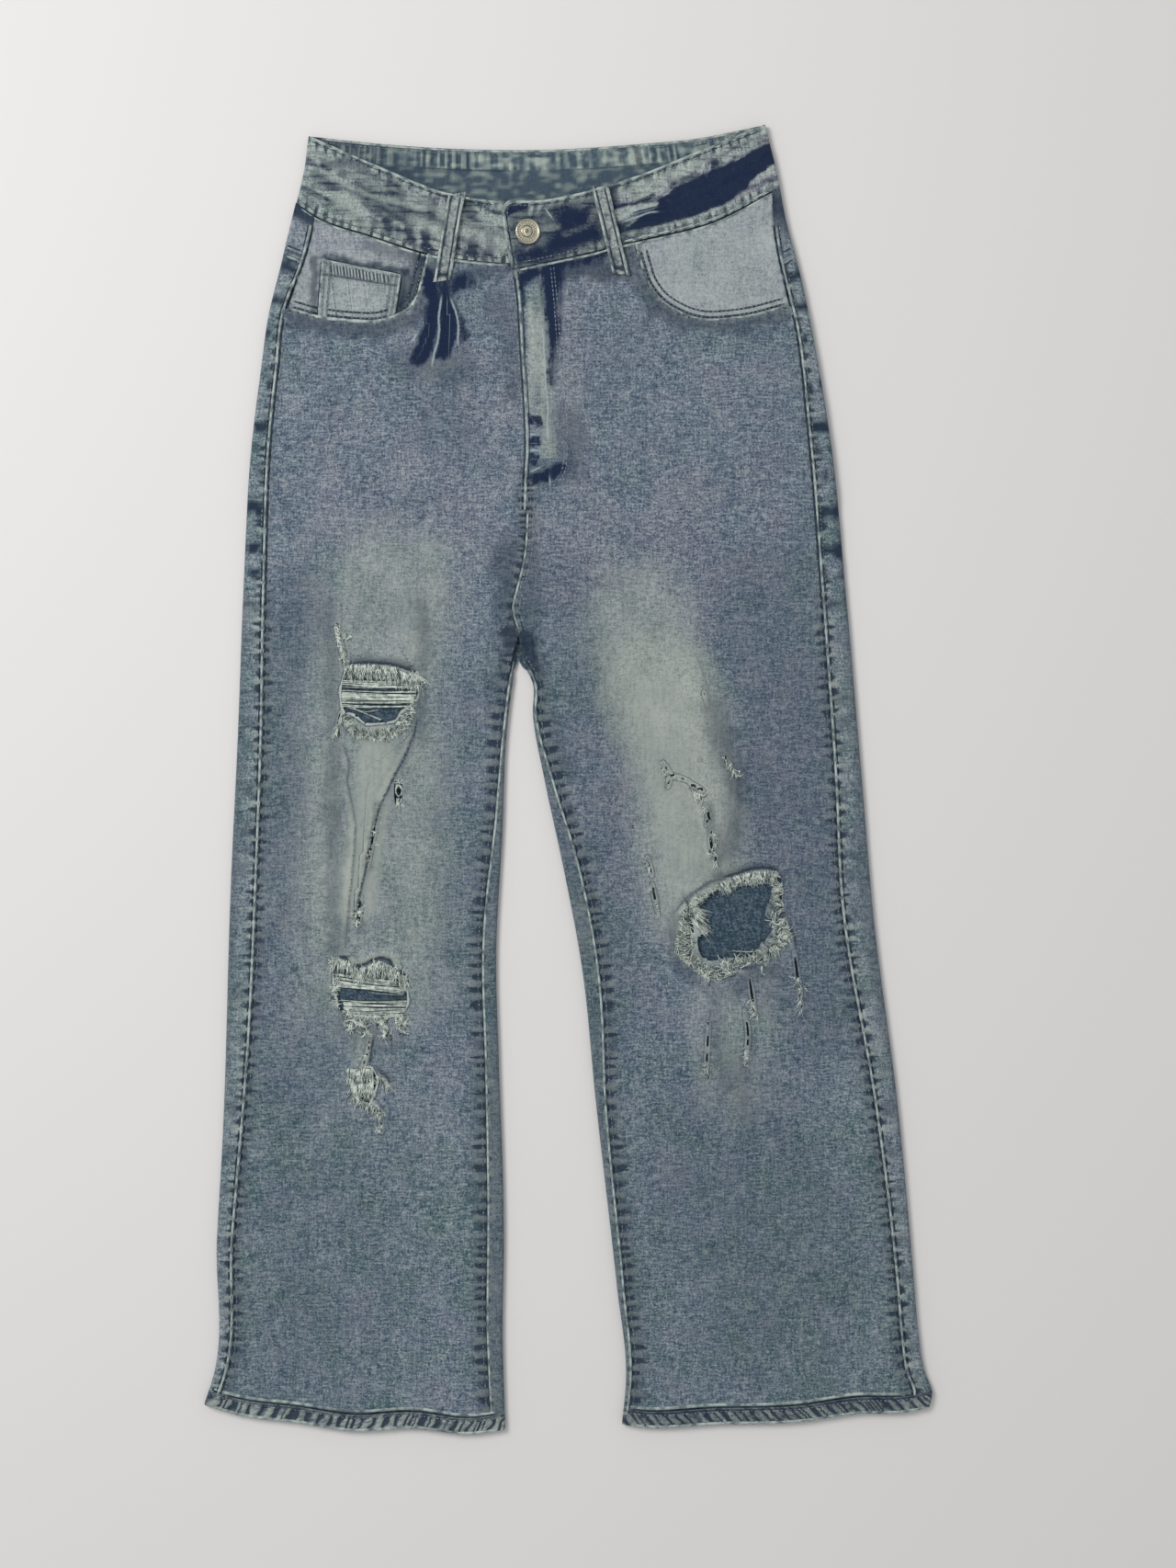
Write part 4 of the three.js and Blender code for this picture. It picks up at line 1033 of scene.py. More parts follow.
def makeFront(leg):
    name = leg["name"]
    s = frontSettings
    shares = sharesAcross(s["columns"])
    levels = levelsBetween((-468, 190, s["legStep"]), (190, 372, s["hipStep"]))
    grid = panelGrid(frontSection(leg, shares), len(shares), levels, hemTop(leg),
                     lambda x: leg["waistSeam"](x) - waistGap, 6, 36)
    x, y, z = grid[..., 0].copy(), grid[..., 1].copy(), grid[..., 2].copy()
    # holes
    scoop = pocketScoops[name] + scoopCorners[name]
    # each opening: its outline, and the width, bleaching and painted shadow rim of its edge
    openings = [(outline, edgeWidth.get(key, 2.2), edgeBleach.get(key, 0.95), 0.8)
                for key, outline in tears[name].items()]
    openings += [(slitOutline(mark), 1.6, 0.15, 0.75) for mark in slits[name]]
    lines = [smoothPath(opening[0], 2.0, closed=True) for opening in openings]
    midX, midY = (x[:-1, :-1] + x[1:, 1:]) / 2, (y[:-1, :-1] + y[1:, 1:]) / 2
    keep = ~np.any([inside(midX, midY, line) for line in lines + [scoop]], axis=0)
    x, y = snapToTears(x, y, lines)
    # relief
    z += creaseHeight(name, x, y)
    inner = np.minimum(shares, 1 - shares)[None, :] * 205
    soft = smooth(inner, 0, 40)
    z += soft * (0.9 * lumps(x, y, 70, 7) + 0.5 * lumps(x, y, 34, 8) + 0.16 * lumps(x, y, 12, 9))
    tornField = np.zeros(x.shape + (3,))
    tornField[..., 0] = 40
    toEdge = np.full(x.shape, 40.0)
    for outline, width, bleach, rim in openings:
        near, _, _ = nearPath(x, y, outline + outline[:1], 24)
        closer = near / width < tornField[..., 0]
        tornField[closer] = np.stack([near / width, bleach + 0 * near, rim + 0 * near], -1)[closer]
        toEdge = np.minimum(toEdge, near)
    tornField[..., 1:] *= tornField[..., :1] < 6
    z += 0.8 * bell(toEdge, 3.5) * (1 + 0.5 * lumps(x, y, 5, 21))
    field = seamField(x, y, [
        seam(seamPath(leg, "side", -490, 140), 9.0, 8.5, 1.0, 11),
        seam(seamPath(leg, "side", 140, 350), 4.5, 7.5, 0.35, 12),
        seam(seamPath(leg, "inseam", -500, 111), 12.0, 9.5, 1.3, 23),
        seam(seamPath(leg, "centre", 111, 232), 8.0, 6.5, 1.0, 37),
        seam(pocketScoops[name], 6.5, 6.0, 0.4, 51), seam(waistLine(leg), 6.0, 7.0, 0.7, 63)])
    z += 0.36 * seamRelief(field)
    # washed marks and painted shade
    mottle = 0.6 * lumps(x, y, 26, 47) + 0.4 * lumps(x, y, 9, 48)
    pale = paintStrokes(x, y, paleMarks[name], 1.2, 41) + s["mottle"] * mottle
    pale = np.where(inside(x, y, scoop), 0, pale)
    tint = 0.35 * lumps(x, y, 80, 31) + 0.25 * lumps(x, y, 30, 32) + 0.35 * smooth(y, 60, 200)
    tint = tint - 0.7 * smooth(pale, 0.15, 0.5) - 0.35 * smooth(-y, 120, 300) - 0.35 * smooth(-inner, -35, 0)
    shade = paintStrokes(x, y, shadeMarks[name], 3.0, 43)
    wisps = lumps(x, y / 7, 3.2, 46)
    ink = paintStrokes(x, y, inkMarks[name], 1.6, 45) * (1.08 + 0.25 * wisps)
    mouth = nearPath(x, y, pocketScoops[name], 12)[0]
    pale += 0.3 * bell(mouth - 1, 1.2) + 0.26 * bell(mouth - 6.6, 1.4)
    pale *= 1 + 0.5 * wisps * smooth(y, 225, 260) * smooth(x, -40, -30) * smooth(-x, 0, 8)
    shade = np.maximum(shade, 0.45 * bell(field[..., 0], 0.8) * np.minimum(1, field[..., 2]))
    shade = np.clip(shade + 0.07 - 0.07 * mottle, 0, 1)
    paint = dict(pale=pale, ink=ink, tint=tint, shade=shade, streak=0.9,
                 bare=paintStrokes(x, y, bareMarks[name], 2, 49), seam=field, torn=tornField,
                 fold=lineField(x, y, creaseLines(name)))
    piece = clothMesh(f"{name}_front", np.stack([x, y, z], -1), s["thickness"], materials["washed"],
                      leg["across"], keep, paint)
    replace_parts(piece, f"front_leg_{name}")


for leg in legs:
    makeFront(leg)
print("fronts made")

# ---------- backs ----------
backSettings = dict(thickness=1.1, step=4.0)


def onFront(y, z):  # where a back panel has turned over to the front
    return z > seatBase(y) + 2.4


def backPaint(leg, grid, seed):  # washed marks of a back panel, and of its strips that turn to the front
    x, y, z = np.moveaxis(grid, 2, 0)
    high = onFront(y, z)
    seat = paintStrokes(x, y, [stroke(60, 70, 0.4, -110, 250, -115, 170),
                               stroke(60, 70, 0.4, 60, 250, 65, 170)])
    pale = 0.06 + 0.1 * lumps(x, y, 60, seed) + 0.07 * lumps(x, y, 12,
                                                             seed + 1) + np.where(high, 0.06, 0.3 * seat)
    line = seamPath(leg, "side", -490, 425)
    away, along, _ = nearPath(x, y, line, 40)
    smudge = puckers(along + 3 * lumps(x, y, 9, seed + 2), 24, seed + 3, 0.5)
    upper = smooth(y, 110, 160)
    ragged = smudge + 0.5 * lumps(x, y, 4, seed + 5)
    shade = np.where(high, smooth(ragged, 0.15, 0.8) * mix(0.35, 1.0, upper), 0.06)
    ink = np.where(high, 0.25 * upper * smooth(smudge, 0.5, 0.95) * smooth(away, 1.5, 5), 0)
    shade = np.where(high, np.maximum(shade, 0.35 * smooth(away, 10, 18)), shade)
    field = seamField(x, y, [seam(line, 9.0, 9.0, 1.1, 71),
                             seam(seamPath(leg, "inseam", -500, 93), 5.0, 9.0, 0.8, 72)])
    field[..., 2] *= high
    return 0.25 * seamRelief(field) - np.where(high, 0.25 * smudge * upper, 0), dict(
        pale=pale, ink=ink, shade=shade, tint=-0.5 + 0.4 * lumps(x, y, 50, seed + 4), seam=field,
        insideInk=0.1 * np.clip(lumps(x, y, 20, seed + 4), 0, 1))


def makeBack(leg):
    name = leg["name"]
    columns = sum(backColumns.values())
    levels = levelsBetween((-466, 340, backSettings["step"]))
    grid = panelGrid(lambda y: backSection(leg, y), columns, levels, hemTop(leg),
                     lambda x: yokeSeam(x) - seamGap / 2, 4, 10)
    lift, paint = backPaint(leg, grid, 71)
    grid[..., 2] += lift
    flat = grid.copy()
    step = np.linalg.norm(np.diff(grid, axis=1), axis=2)
    flat[..., 0] = np.concatenate([0 * step[:, :1], np.cumsum(step, 1)], 1)
    piece = clothMesh(f"{name}_back", grid, backSettings["thickness"], materials["washed"],
                      -leg["across"], None, paint, flat=flat)
    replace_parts(piece, f"back_leg_{name}")


def waistSeamAt(leg, x, turn):
    return mix(backSeam(x), leg["waistSeam"](x), turn)


def makeYoke(leg):
    name = leg["name"]
    columns = sum(backColumns.values())
    foldStart = columns - backColumns["sideFold"] - backColumns["sideFlap"]
    turn = np.clip((np.arange(columns) - foldStart) / (backColumns["sideFold"] - 1), 0, 1)[None, :]
    shares = evenly(22)[:, None]
    y = 400 + 40 * shares + 0 * turn
    for _ in range(6):
        x, z = backSection(leg, y)
        y = mix(yokeSeam(x) + seamGap / 2, waistSeamAt(leg, x, turn) - waistGap, shares)
    x, z = backSection(leg, y)
    grid = np.stack([x, y, z], -1)
    high = onFront(y, z)
    shares = shares + 0 * x
    if leg is right:
        dark = np.maximum(smooth(shares, 0.62, 0.8) * smooth(x, -216, -209), 0.9 * bell(shares - 0.04, 0.05))
    else:
        dark = smooth(shares, 0.1, 0.45) * (0.75 + 0.4 * lumps(x, y, 9, 83))
    shade = np.where(high, 0.85 * dark, 0.05)
    piece = clothMesh(f"{name}_yoke", grid, backSettings["thickness"], materials["washed"],
                      -leg["across"], None, dict(pale=0.12 + 0.12 * lumps(x, y, 20, 81), shade=shade,
                                                 ink=np.where(high, 0.35 * smooth(dark, 0.55, 1), 0),
                                                 tint=-0.1 + 0 * x))
    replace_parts(piece, f"yoke_{name}")


for leg in legs:
    makeBack(leg)
    makeYoke(leg)
print("backs and yokes made")

# ---------- hems ----------
hemSettings = dict(thickness=2.0, around=2.1, rows=14, rope=6.5, ropeHeight=0.5)


def makeHem(leg):
    name, a = leg["name"], leg["across"]
    s = hemSettings
    low, high = 1.2, flapLevel(leg["hemLine"](leg["inner"](-480.0)))
    folds, under, over = 9, 84, 100

    def section(y):
        turn = evenly(folds)
        innerY, underY, outerY, overY = np.split(y, np.cumsum([folds, under, folds]), axis=1)
        fold = lambda kind, part, at: foldedEdge(leg[kind](part), a if kind == "inner" else -a, low, high,
                                                 s["thickness"], at)
        ix, iz = fold("inner", innerY, turn[::-1])
        ox, oz = fold("outer", outerY, turn)
        ux = mix(fold("inner", underY, 0.0)[0], fold("outer", underY, 0.0)[0], evenly(under + 2)[1:-1])
        tx = mix(fold("outer", overY, 1.0)[0], fold("inner", overY, 1.0)[0], evenly(over + 2)[1:-1])
        return (np.concatenate([ix, ux, ox, tx], 1),
                np.concatenate([iz, low + 0 * ux, oz, high + 0 * tx], 1))
    columns = 2 * folds + under + over
    shares = evenly(s["rows"])[:, None]
    y = -485 + hemHeight * shares + np.zeros((1, columns))
    for _ in range(6):
        x, z = section(y)
        y = leg["hemLine"](x) + hemHeight * shares
    x, z = section(y)
    on = z > 3
    around = np.cumsum(np.linalg.norm(np.diff(np.stack([x, y, z], -1), axis=1,
                                              prepend=x[:, :1, None] * [1, 0, 0]), axis=2), 1)
    slant = 11.0 if leg is left else 5.0
    field = np.zeros(x.shape + (3,))
    field[..., 0] = 0.75 * smooth(np.abs(shares - 0.4), 0.25,
                                  0.62) + 0.7 * np.clip(lumps(x, 2 * y, 5, 95), 0, 1)
    field[..., 1] = waveCount(x * a + slant * shares + 300, s["rope"], 91 + len(name),
                              0.75) + 0.2 * lumps(x, y, 5, 97)
    field[..., 2] = 1.1
    z = z + np.where(on, s["ropeHeight"] * seamRelief(field) * smooth(shares, 1.0, 0.75), 0)
    lipped = bell(shares, 0.1) + 0 * x
    pale = (0.16 if leg is right else 0.08) + 0.4 * lipped + 0.16 * lumps(x, y, 7, 93)
    shade = (-0.1 if leg is right else 0.2) + 0.8 * bell(shares - 0.9, 0.07) + 0.25 * lumps(x, y, 9, 94)
    piece = clothMesh(f"{name}_hem", np.stack([x, y, z], -1), s["thickness"], materials["seams"],
                      -a, None, dict(pale=pale, shade=shade, tint=-0.35 + 0 * pale,
                                                   seam=field), ring=True,
                      flat=np.stack([around, y, 0 * y], -1))
    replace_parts(piece, f"hem_{name}")


for leg in legs:
    makeHem(leg)
print("hems made")
# ---------- waistband ----------
bandSettings = dict(thickness=2.0, rows=38, front=150, back=170, fold=9)
underlapEnd, tabBottom, tabTop, tabCorner = 6, -43, -50, 7


def bandLevel(leg, x):
    if leg is left:
        return mix(tabLevel, sideBandLevel, smooth(x, 9, 62))
    return mix(sideBandLevel, underBandLevel, smooth(x, -120, -60))


bandInk = [patch(17, 0.95, -13, 434, -1, 438, 15, 435, 22, 425, 29, 410, 15, 406, -10, 396, -24, 393, -18,
                 410, -9, 421),
           patch(3, 1, 45, 420, 66, 439, 83, 451, 101, 460, 117, 467, 134, 474, 152, 484, 154, 468, 142,
                 458, 131, 446, 120, 438, 101, 430, 83, 424, 66, 419, 54, 415),
           patch(6, 0.8, 25, 427, 44, 423, 52, 418, 40, 408),
           stroke(12, 5, 1, 62, 428, 83, 438, 101, 446, 120, 454, 136, 464, 152, 476),
           stroke(2, 3, 0.8, 34, 435, 50, 438, 65, 444), stroke(3, 3, 0.9, -46, 431, -42, 434, -32, 436),
           stroke(4, 6, 0.8, -37, 396, -23, 400)]
bandShade = [patch(8, 0.6, -48, 435, -13, 438, 19, 445, 30, 410, -13, 393, -39, 388),
             stroke(3.5, 3, 0.95, 73, 463, 79, 455), stroke(3.5, 3, 0.85, 60, 458, 65, 451),
             stroke(3.5, 3, 0.95, 96, 477, 103, 473, 111, 469), stroke(1.5, 2, 0.7, 93, 472, 100, 466),
             stroke(3, 3, 0.8, 109, 476, 113, 470), stroke(3, 4, 0.7, 46, 451, 50, 444),
             stroke(4, 6, 0.8, 32, 453, 34, 437), stroke(4, 6, 0.6, 57, 428, 71, 435),
             stroke(4, 4, 0.95, -109, 417, -108, 403), stroke(4, 4, 0.85, -122, 420, -120, 410),
             stroke(3.5, 4, 0.8, -139, 425, -137, 416), stroke(4, 4, 0.75, -158, 423, -156, 418),
             stroke(3, 4, 0.8, -102, 438, -105, 427), stroke(4, 4, 0.85, -72, 411, -73, 400),
             stroke(3, 4, 0.75, -60, 413, -60, 402), stroke(3, 5, 0.7, -79, 425, -67, 421),
             stroke(4, 5, 0.7, -77, 439, -74, 431), stroke(4, 4, 0.8, -186, 470, -182, 466),
             stroke(4, 4, 0.8, -175, 469, -171, 462), stroke(5, 4, 0.9, -135, 451, -127, 445),
             stroke(3, 6, 0.6, -158, 448, -139, 438, -116, 430, -101, 425),
             stroke(2, 5, 0.55, -154, 438, -132, 428, -118, 425), stroke(4, 6, 0.5, -191, 459, -177, 452),
             stroke(4, 6, 0.45, -181, 438, -167, 434), stroke(1.5, 2.5, 0.6, -96, 421, -92, 408),
             stroke(1.5, 2.5, 0.6, -86, 414, -84, 405), stroke(2, 3, 0.6, -149, 424, -147, 419),
             stroke(1.5, 2.5, 0.5, -130, 419, -129, 412)]
bandPale = each(stroke, (1.2, 1.5, 0.75, -27, 437, -29, 430), (1, 1.5, 0.65, -20, 439, -23, 432),
                (1.4, 2.5, 0.5, -21, 417, -8, 420), (1.5, 4, 0.35, -3, 414, 15, 421, 19, 428),
                (2, 2, 1, 39, 427, 50, 434, 67, 438), (1.5, 2, 0.8, 34, 431, 46, 435),
                (8, 4, 0.8, 50, 446, 85, 464, 127, 488, 152, 498), (1.2, 1.5, 0.8, 100, 463, 103, 469),
                (1, 3, 0.5, 29, 410, 50, 416, 99, 427, 155, 444),
                (7, 8, 0.75, -172, 438, -164, 435, -164, 425, -158, 421),
                (3, 5, 0.5, -193, 474, -153, 455, -97, 434), (5, 6, 0.6, -118, 425, -98, 418),
                (6, 8, 0.55, -79, 418, -52, 407), (1.5, 3, 0.6, -188, 462, -150, 444, -112, 434),
                (1, 2, 0.6, -94, 431, -74, 424, -56, 421), (1.2, 2.5, 0.55, -181, 447, -160, 437))
bandLines = [(-27, 437, -28, 431), (-18, 435, -11, 425), (39, 426, 50, 433, 68, 438),
             (40, 423, 57, 430, 70, 432), (-50, 431, -47, 410, -42, 389), (101, 460, 104, 469),
             (107, 463, 108, 469), (58, 448, 65, 455)]


def makeBand():
    s = bandSettings
    shares = evenly(s["rows"])[:, None]
    low = 1.5 + bandThickness / 2
    turn = evenly(s["fold"])
    rx, rz = foldedEdge(right["outer"](mix(441, 490, shares)), 1, low, sideBandLevel, bandThickness,
                        turn[::-1])
    lx, lz = foldedEdge(left["outer"](mix(451, 498, shares)), -1, low, sideBandLevel, bandThickness, turn)
    frontRight = mix(underlapEnd, rx[:, :1], evenly(s["front"] + 1)[:-1])
    back = mix(rx[:, -1:], lx[:, :1], evenly(s["back"] + 2)[1:-1])
    corner = np.clip((shares - 0.84) / 0.16, 0, 1)
    tab = mix(tabBottom, tabTop, smooth(shares, 0, 0.9)) + tabCorner * (1 - np.sqrt(1 - corner ** 2))
    frontLeft = mix(lx[:, -1:], tab, evenly(s["front"] + 1)[1:])
    x = np.concatenate([frontRight, rx, back, lx, frontLeft], 1)
    z = np.concatenate([bandLevel(right, frontRight), rz, low + 0 * back, lz, bandLevel(left, frontLeft)], 1)
    turns = np.concatenate([np.ones(s["front"]), turn[::-1], np.zeros(s["back"]), turn,
                            np.ones(s["front"])])[None, :]
    half = s["front"] + s["fold"] + s["back"] // 2
    y = np.empty(x.shape)
    for leg, part in ((right, slice(None, half)), (left, slice(half, None))):
        px, t = x[:, part], turns[:, part]
        y[:, part] = mix(waistSeamAt(leg, px, t), mix(backBandTop(px), leg["bandTop"](px), t), shares)
    front = turns > 0.5
    z += np.where(front, 0.35 * lumps(x, y, 24, 101) + 0.22 * lumps(x / 2.6, y, 4.5, 102),
                  0.2 * lumps(x, y, 20, 103))
    along = np.cumsum(np.hypot(np.diff(x[14], prepend=x[14, 0]),
                               np.diff(z[14], prepend=z[14, 0])))[None, :] + 0 * x
    shares = shares + 0 * x
    upperInside = smooth(shares, 0.66, 0.7)
    distance = np.where(front, 0.2 + 1.6 * smooth(np.minimum(1 - shares, shares), 0.04, 0.3),
                        1.1 - 0.95 * upperInside)
    count = np.where(front, waveCount(along, 7.0, 105), waveCount(along, 8.0, 107, 0.6))
    strength = np.where(front, 0.7, np.clip(0.55 + 0.5 * lumps(x, y, 11, 108), 0, 1))
    field = np.stack([distance, count, strength], -1)
    z += np.where(front, 0.2, 0.4) * seamRelief(field)
    onRight = front & (x < -46) & (np.arange(x.shape[1]) < half)[None, :]
    slope = y + 0.42 * x * np.where(onRight, 1, -1)
    streaks = np.clip(0.5 + 0.8 * lumps(x / 4, slope, 4.5, 111) + 0.5 * lumps(x / 2.5, slope, 2.0, 112), 0, 1)
    marks = paintStrokes(x, y, bandPale, 0.6, 119)
    shade = np.where(front, 1 - (1 - 0.5 * smooth(streaks, 0.4, 1))
                     * (1 - paintStrokes(x, y, bandShade, 1.4, 115)), 0.15)
    ink = np.where(front, paintStrokes(x, y, bandInk, 1.0, 116), 0) * (1 - 0.9 * marks)
    ink *= 0.98 - 0.14 * streaks + 0.1 * lumps(x, y, 3, 118)
    pale = np.where(front, np.maximum(0.58 - 0.7 * streaks + 0.12 * lumps(x, y, 12, 117), marks),
                    0.12 + 0.12 * lumps(x, y, 16, 121))
    narrow = smooth(lumps(x, y / 5, 2.3, 125), 0.25, 0.7) * upperInside
    insidePale = 0.1 + 0.6 * lumps(x / 4, y, 2.4, 123) + 0.6 * lumps(x, y, 4, 124) + 0.35 * narrow
    insideInk = mix(0.42, 0.2, upperInside) + 0.5 * bell(1 - shares, 0.05) + 0.4 * smooth(-x, 70, 170)
    insideInk = np.maximum(insideInk, 0.9 * bell(shares - 0.67, 0.03)
                           * smooth(lumps(x, y, 30, 127), -0.6, 0.2))
    tint = np.where(onRight, -0.3, 0.1) + 0.8 * lumps(x, y, 15, 129)
    lines = lineField(x, y, [dict(path=pairs(*xy), strength=-0.75, taper=6) for xy in bandLines])
    piece = clothMesh("waistband_cloth", np.stack([x, y, z], -1), s["thickness"], materials["band"],
                      -1, paint=dict(pale=pale, ink=ink, shade=shade * (1 - 0.8 * marks),
                                                   tint=tint, streak=0.5, seam=field,
                                                   insidePale=insidePale, insideInk=insideInk, fold=lines),
                      flat=np.stack([y, along, 0 * y], -1))
    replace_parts(piece, "waistband")


makeBand()
print("waistband made")

# ---------- pockets ----------
facingLow = 1.5 + denim + seamGap + 0.5
facingEdges = dict(right=edge(-135, 333, -104, 350, -94, 372, -90, 402),
                   left=edge(92, 333, 58, 350, 44, 372, 36, 402))
# painted shade on the facings: beside the pocket mouths, under the waistband and along the coin pocket
facingShade = dict(
    right=each(stroke, (8, 14, 0.75, -125, 362, -116, 371, -112, 383, -108, 395),
               (2, 7, 0.4, -153, 406, -132, 400, -112, 396), (2.5, 4, 0.65, -193, 394, -194, 354),
               (2, 3.5, 0.8, -186, 398, -125, 386), (2, 4, 0.6, -126, 383, -130, 354),
               (3, 5, 0.5, -207, 423, -200, 417)),
    left=[stroke(3, 8, 0.3, 46, 410, 50, 390, 58, 372), stroke(1.5, 5, 0.5, 50, 410, 71, 415)])


def facingLevel(leg, x, y):
    top = leg["waistSeam"](x)
    risen = mix(facingLow, sideBandLevel - 1, smooth(y, top - 40, top))
    nearSide = 1 - smooth(np.abs(x - sideSeam(leg, y)), 0, 25)
    return mix(risen, flapLevel(y) - 0.6, nearSide * smooth(y, 364, 385))


def makeFacing(leg):
    name = leg["name"]
    shares = evenly(64)[None, :]
    rise = evenly(48)[:, None]
    y = 334 + 60 * rise + 0 * shares
    for _ in range(6):
        x = mix(facingEdges[name](y), sideSeam(leg, y) - leg["across"] * seamGap / 2, shares)
        y = mix(334.0, leg["waistSeam"](x) - 2 * waistGap, rise)
    z = facingLevel(leg, x, y) + 0.25 * lumps(x, y, 18, 131)
    field = seamField(x, y, [seam(waistLine(leg), 5.0, 7.0, 0.6, 131),
                             seam(seamPath(leg, "side", 340, 440), 4.0, 9.0, 0.4, 132)])
    z += 0.2 * seamRelief(field)
    bent = x + 3 * lumps(x, y, 14, 138)
    streaks = 0.5 * lumps(bent, y / 3, 3.4, 133) + 0.5 * lumps(bent, y / 2, 1.7, 134)
    if leg is right:
        pale = 0.27 + 0.24 * streaks + 0.2 * lumps(x, y, 17, 135) - 0.2 * smooth(x, -140, -104)
    else:
        pale = 0.5 + 0.2 * streaks + 0.16 * lumps(x, y, 17, 139)
    shade = paintStrokes(x, y, facingShade[name], 2, 137)
    rim = nearPath(x, y, pocketScoops[name], 12)[0]
    # painted shadow beside the rolled edge of the pocket mouth
    shade = np.maximum(shade, 0.85 * bell(np.maximum(rim - 0.8, 0), 1.8))
    shade = np.maximum(shade, 0.6 * bell(field[..., 0], 0.35))
    piece = clothMesh(f"{name}_pocket_facing", np.stack([x, y, z], -1), 0.9, materials["facing"],
                      leg["across"],
                      paint=dict(pale=pale, shade=shade, tint=0.2 + 0.5 * lumps(x, y, 25, 143), seam=field))
    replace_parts(piece, f"pocket_facing_{name}")


coinPocket = dict(top=[(-187, 395.5), (-128, 384)], bottom=[(-191, 343), (-134, 343)], depth=47, width=58,
                  hem=9.5, rope=2.6)


def makeCoinPocket():
    s = coinPocket
    down, over = evenly(50)[:, None], evenly(46)[None, :]
    x, y = (mix(mix(s["top"][0][k], s["top"][1][k], over),
                mix(s["bottom"][0][k], s["bottom"][1][k], over), down)
            for k in (0, 1))
    depth = down * s["depth"]
    hemBand = 1 - smooth(depth, s["hem"] - 1, s["hem"] + 0.4)
    fromSide = np.minimum(over, 1 - over) * s["width"]
    z = facingLevel(right, x, y) + 1.25 + 0.28 * hemBand + 0.12 * lumps(x, y, 10, 145)
    z = z + 0.2 - 0.2 * smooth(fromSide, 5.4, 6.6)
    middle = hemBand * smooth(fromSide, 5, 9) * smooth(depth, 1.6, 2.6) * (1 - smooth(depth, 8.2, 9.2))
    field = np.stack([0.95 * (1 - middle), waveCount(x + 0.12 * y + 300, s["rope"], 147, 0.3),
                      1.1 + 0 * x], -1)
    z += 0.2 * seamRelief(field) * middle
    corners = bell(np.hypot(fromSide - 4, depth - 5), 4.5) * smooth(lumps(x, y, 3, 149), -0.2, 0.3)
    shade = np.max(np.stack(np.broadcast_arrays(
        0.85 * bell(depth - s["hem"], 0.9), 0.6 * bell(fromSide - 6.2, 0.8),
        0.7 * bell(fromSide - 2.2, 0.7), 0.85 * corners,
        0.5 * smooth(x, -146, -136) * smooth(depth, 30, 44))), 0)
    piece = clothMesh("coin_pocket_cloth", np.stack([x, y, z], -1), 0.9, materials["facing"], -1,
                      paint=dict(pale=0.42 + 0.12 * lumps(x, y, 8, 151), shade=shade, tint=-0.6 + 0 * x,
                                 seam=field))
    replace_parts(piece, "coin_pocket")


backPockets = dict(right=dict(top=[(-190, 384), (-62, 366)], tip=(-118, 236), low=[(-178, 262), (-62, 262)]),
                   left=dict(top=[(6, 362), (142, 384)], tip=(64, 236), low=[(6, 262), (126, 262)]))


def makeBackPocket(name):
    s = backPockets[name]
    across, up = np.meshgrid(evenly(42), evenly(44))
    (lowX, lowY), (farX, farY), (tipX, tipY) = s["low"][0], s["low"][1], s["tip"]
    turn = (tipX - lowX) / (farX - lowX)
    footY = np.where(across < turn, mix(lowY, tipY, across / turn),
                     mix(tipY, farY, (across - turn) / (1 - turn)))
    x = mix(mix(lowX, farX, across), mix(s["top"][0][0], s["top"][1][0], across), up)
    y = mix(footY, mix(s["top"][0][1], s["top"][1][1], across), up)
    side = np.minimum(across, 1 - across) * 118
    worn = bell(side, 2.5) + bell((1 - up) * 120, 2.5)
    pale = 0.22 + 0.45 * np.clip(worn, 0, 1) + 0.12 * lumps(x, y, 24, 153)
    shade = 0.6 * bell((1 - up) * 120 - 12, 1.2) + 0.5 * bell(side - 6, 1.2)
    piece = clothMesh(f"{name}_back_pocket", np.stack([x, y, 0.62 + 0 * x], -1), 1.1, materials["washed"],
                      -1, paint=dict(pale=pale, shade=shade, tint=-0.2 + 0.3 * lumps(x, y, 30, 154)))
    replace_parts(piece, f"back_pocket_{name}")


for leg in legs:
    makeFacing(leg)
    makeBackPocket(leg["name"])
makeCoinPocket()
print("pockets made")

# ---------- fly ----------
fly = dict(shieldLevel=3.5, zipLevel=4.8, zipLeft=-23, zipRight=-10, zipLow=243, zipHigh=386, toothStep=2.1)


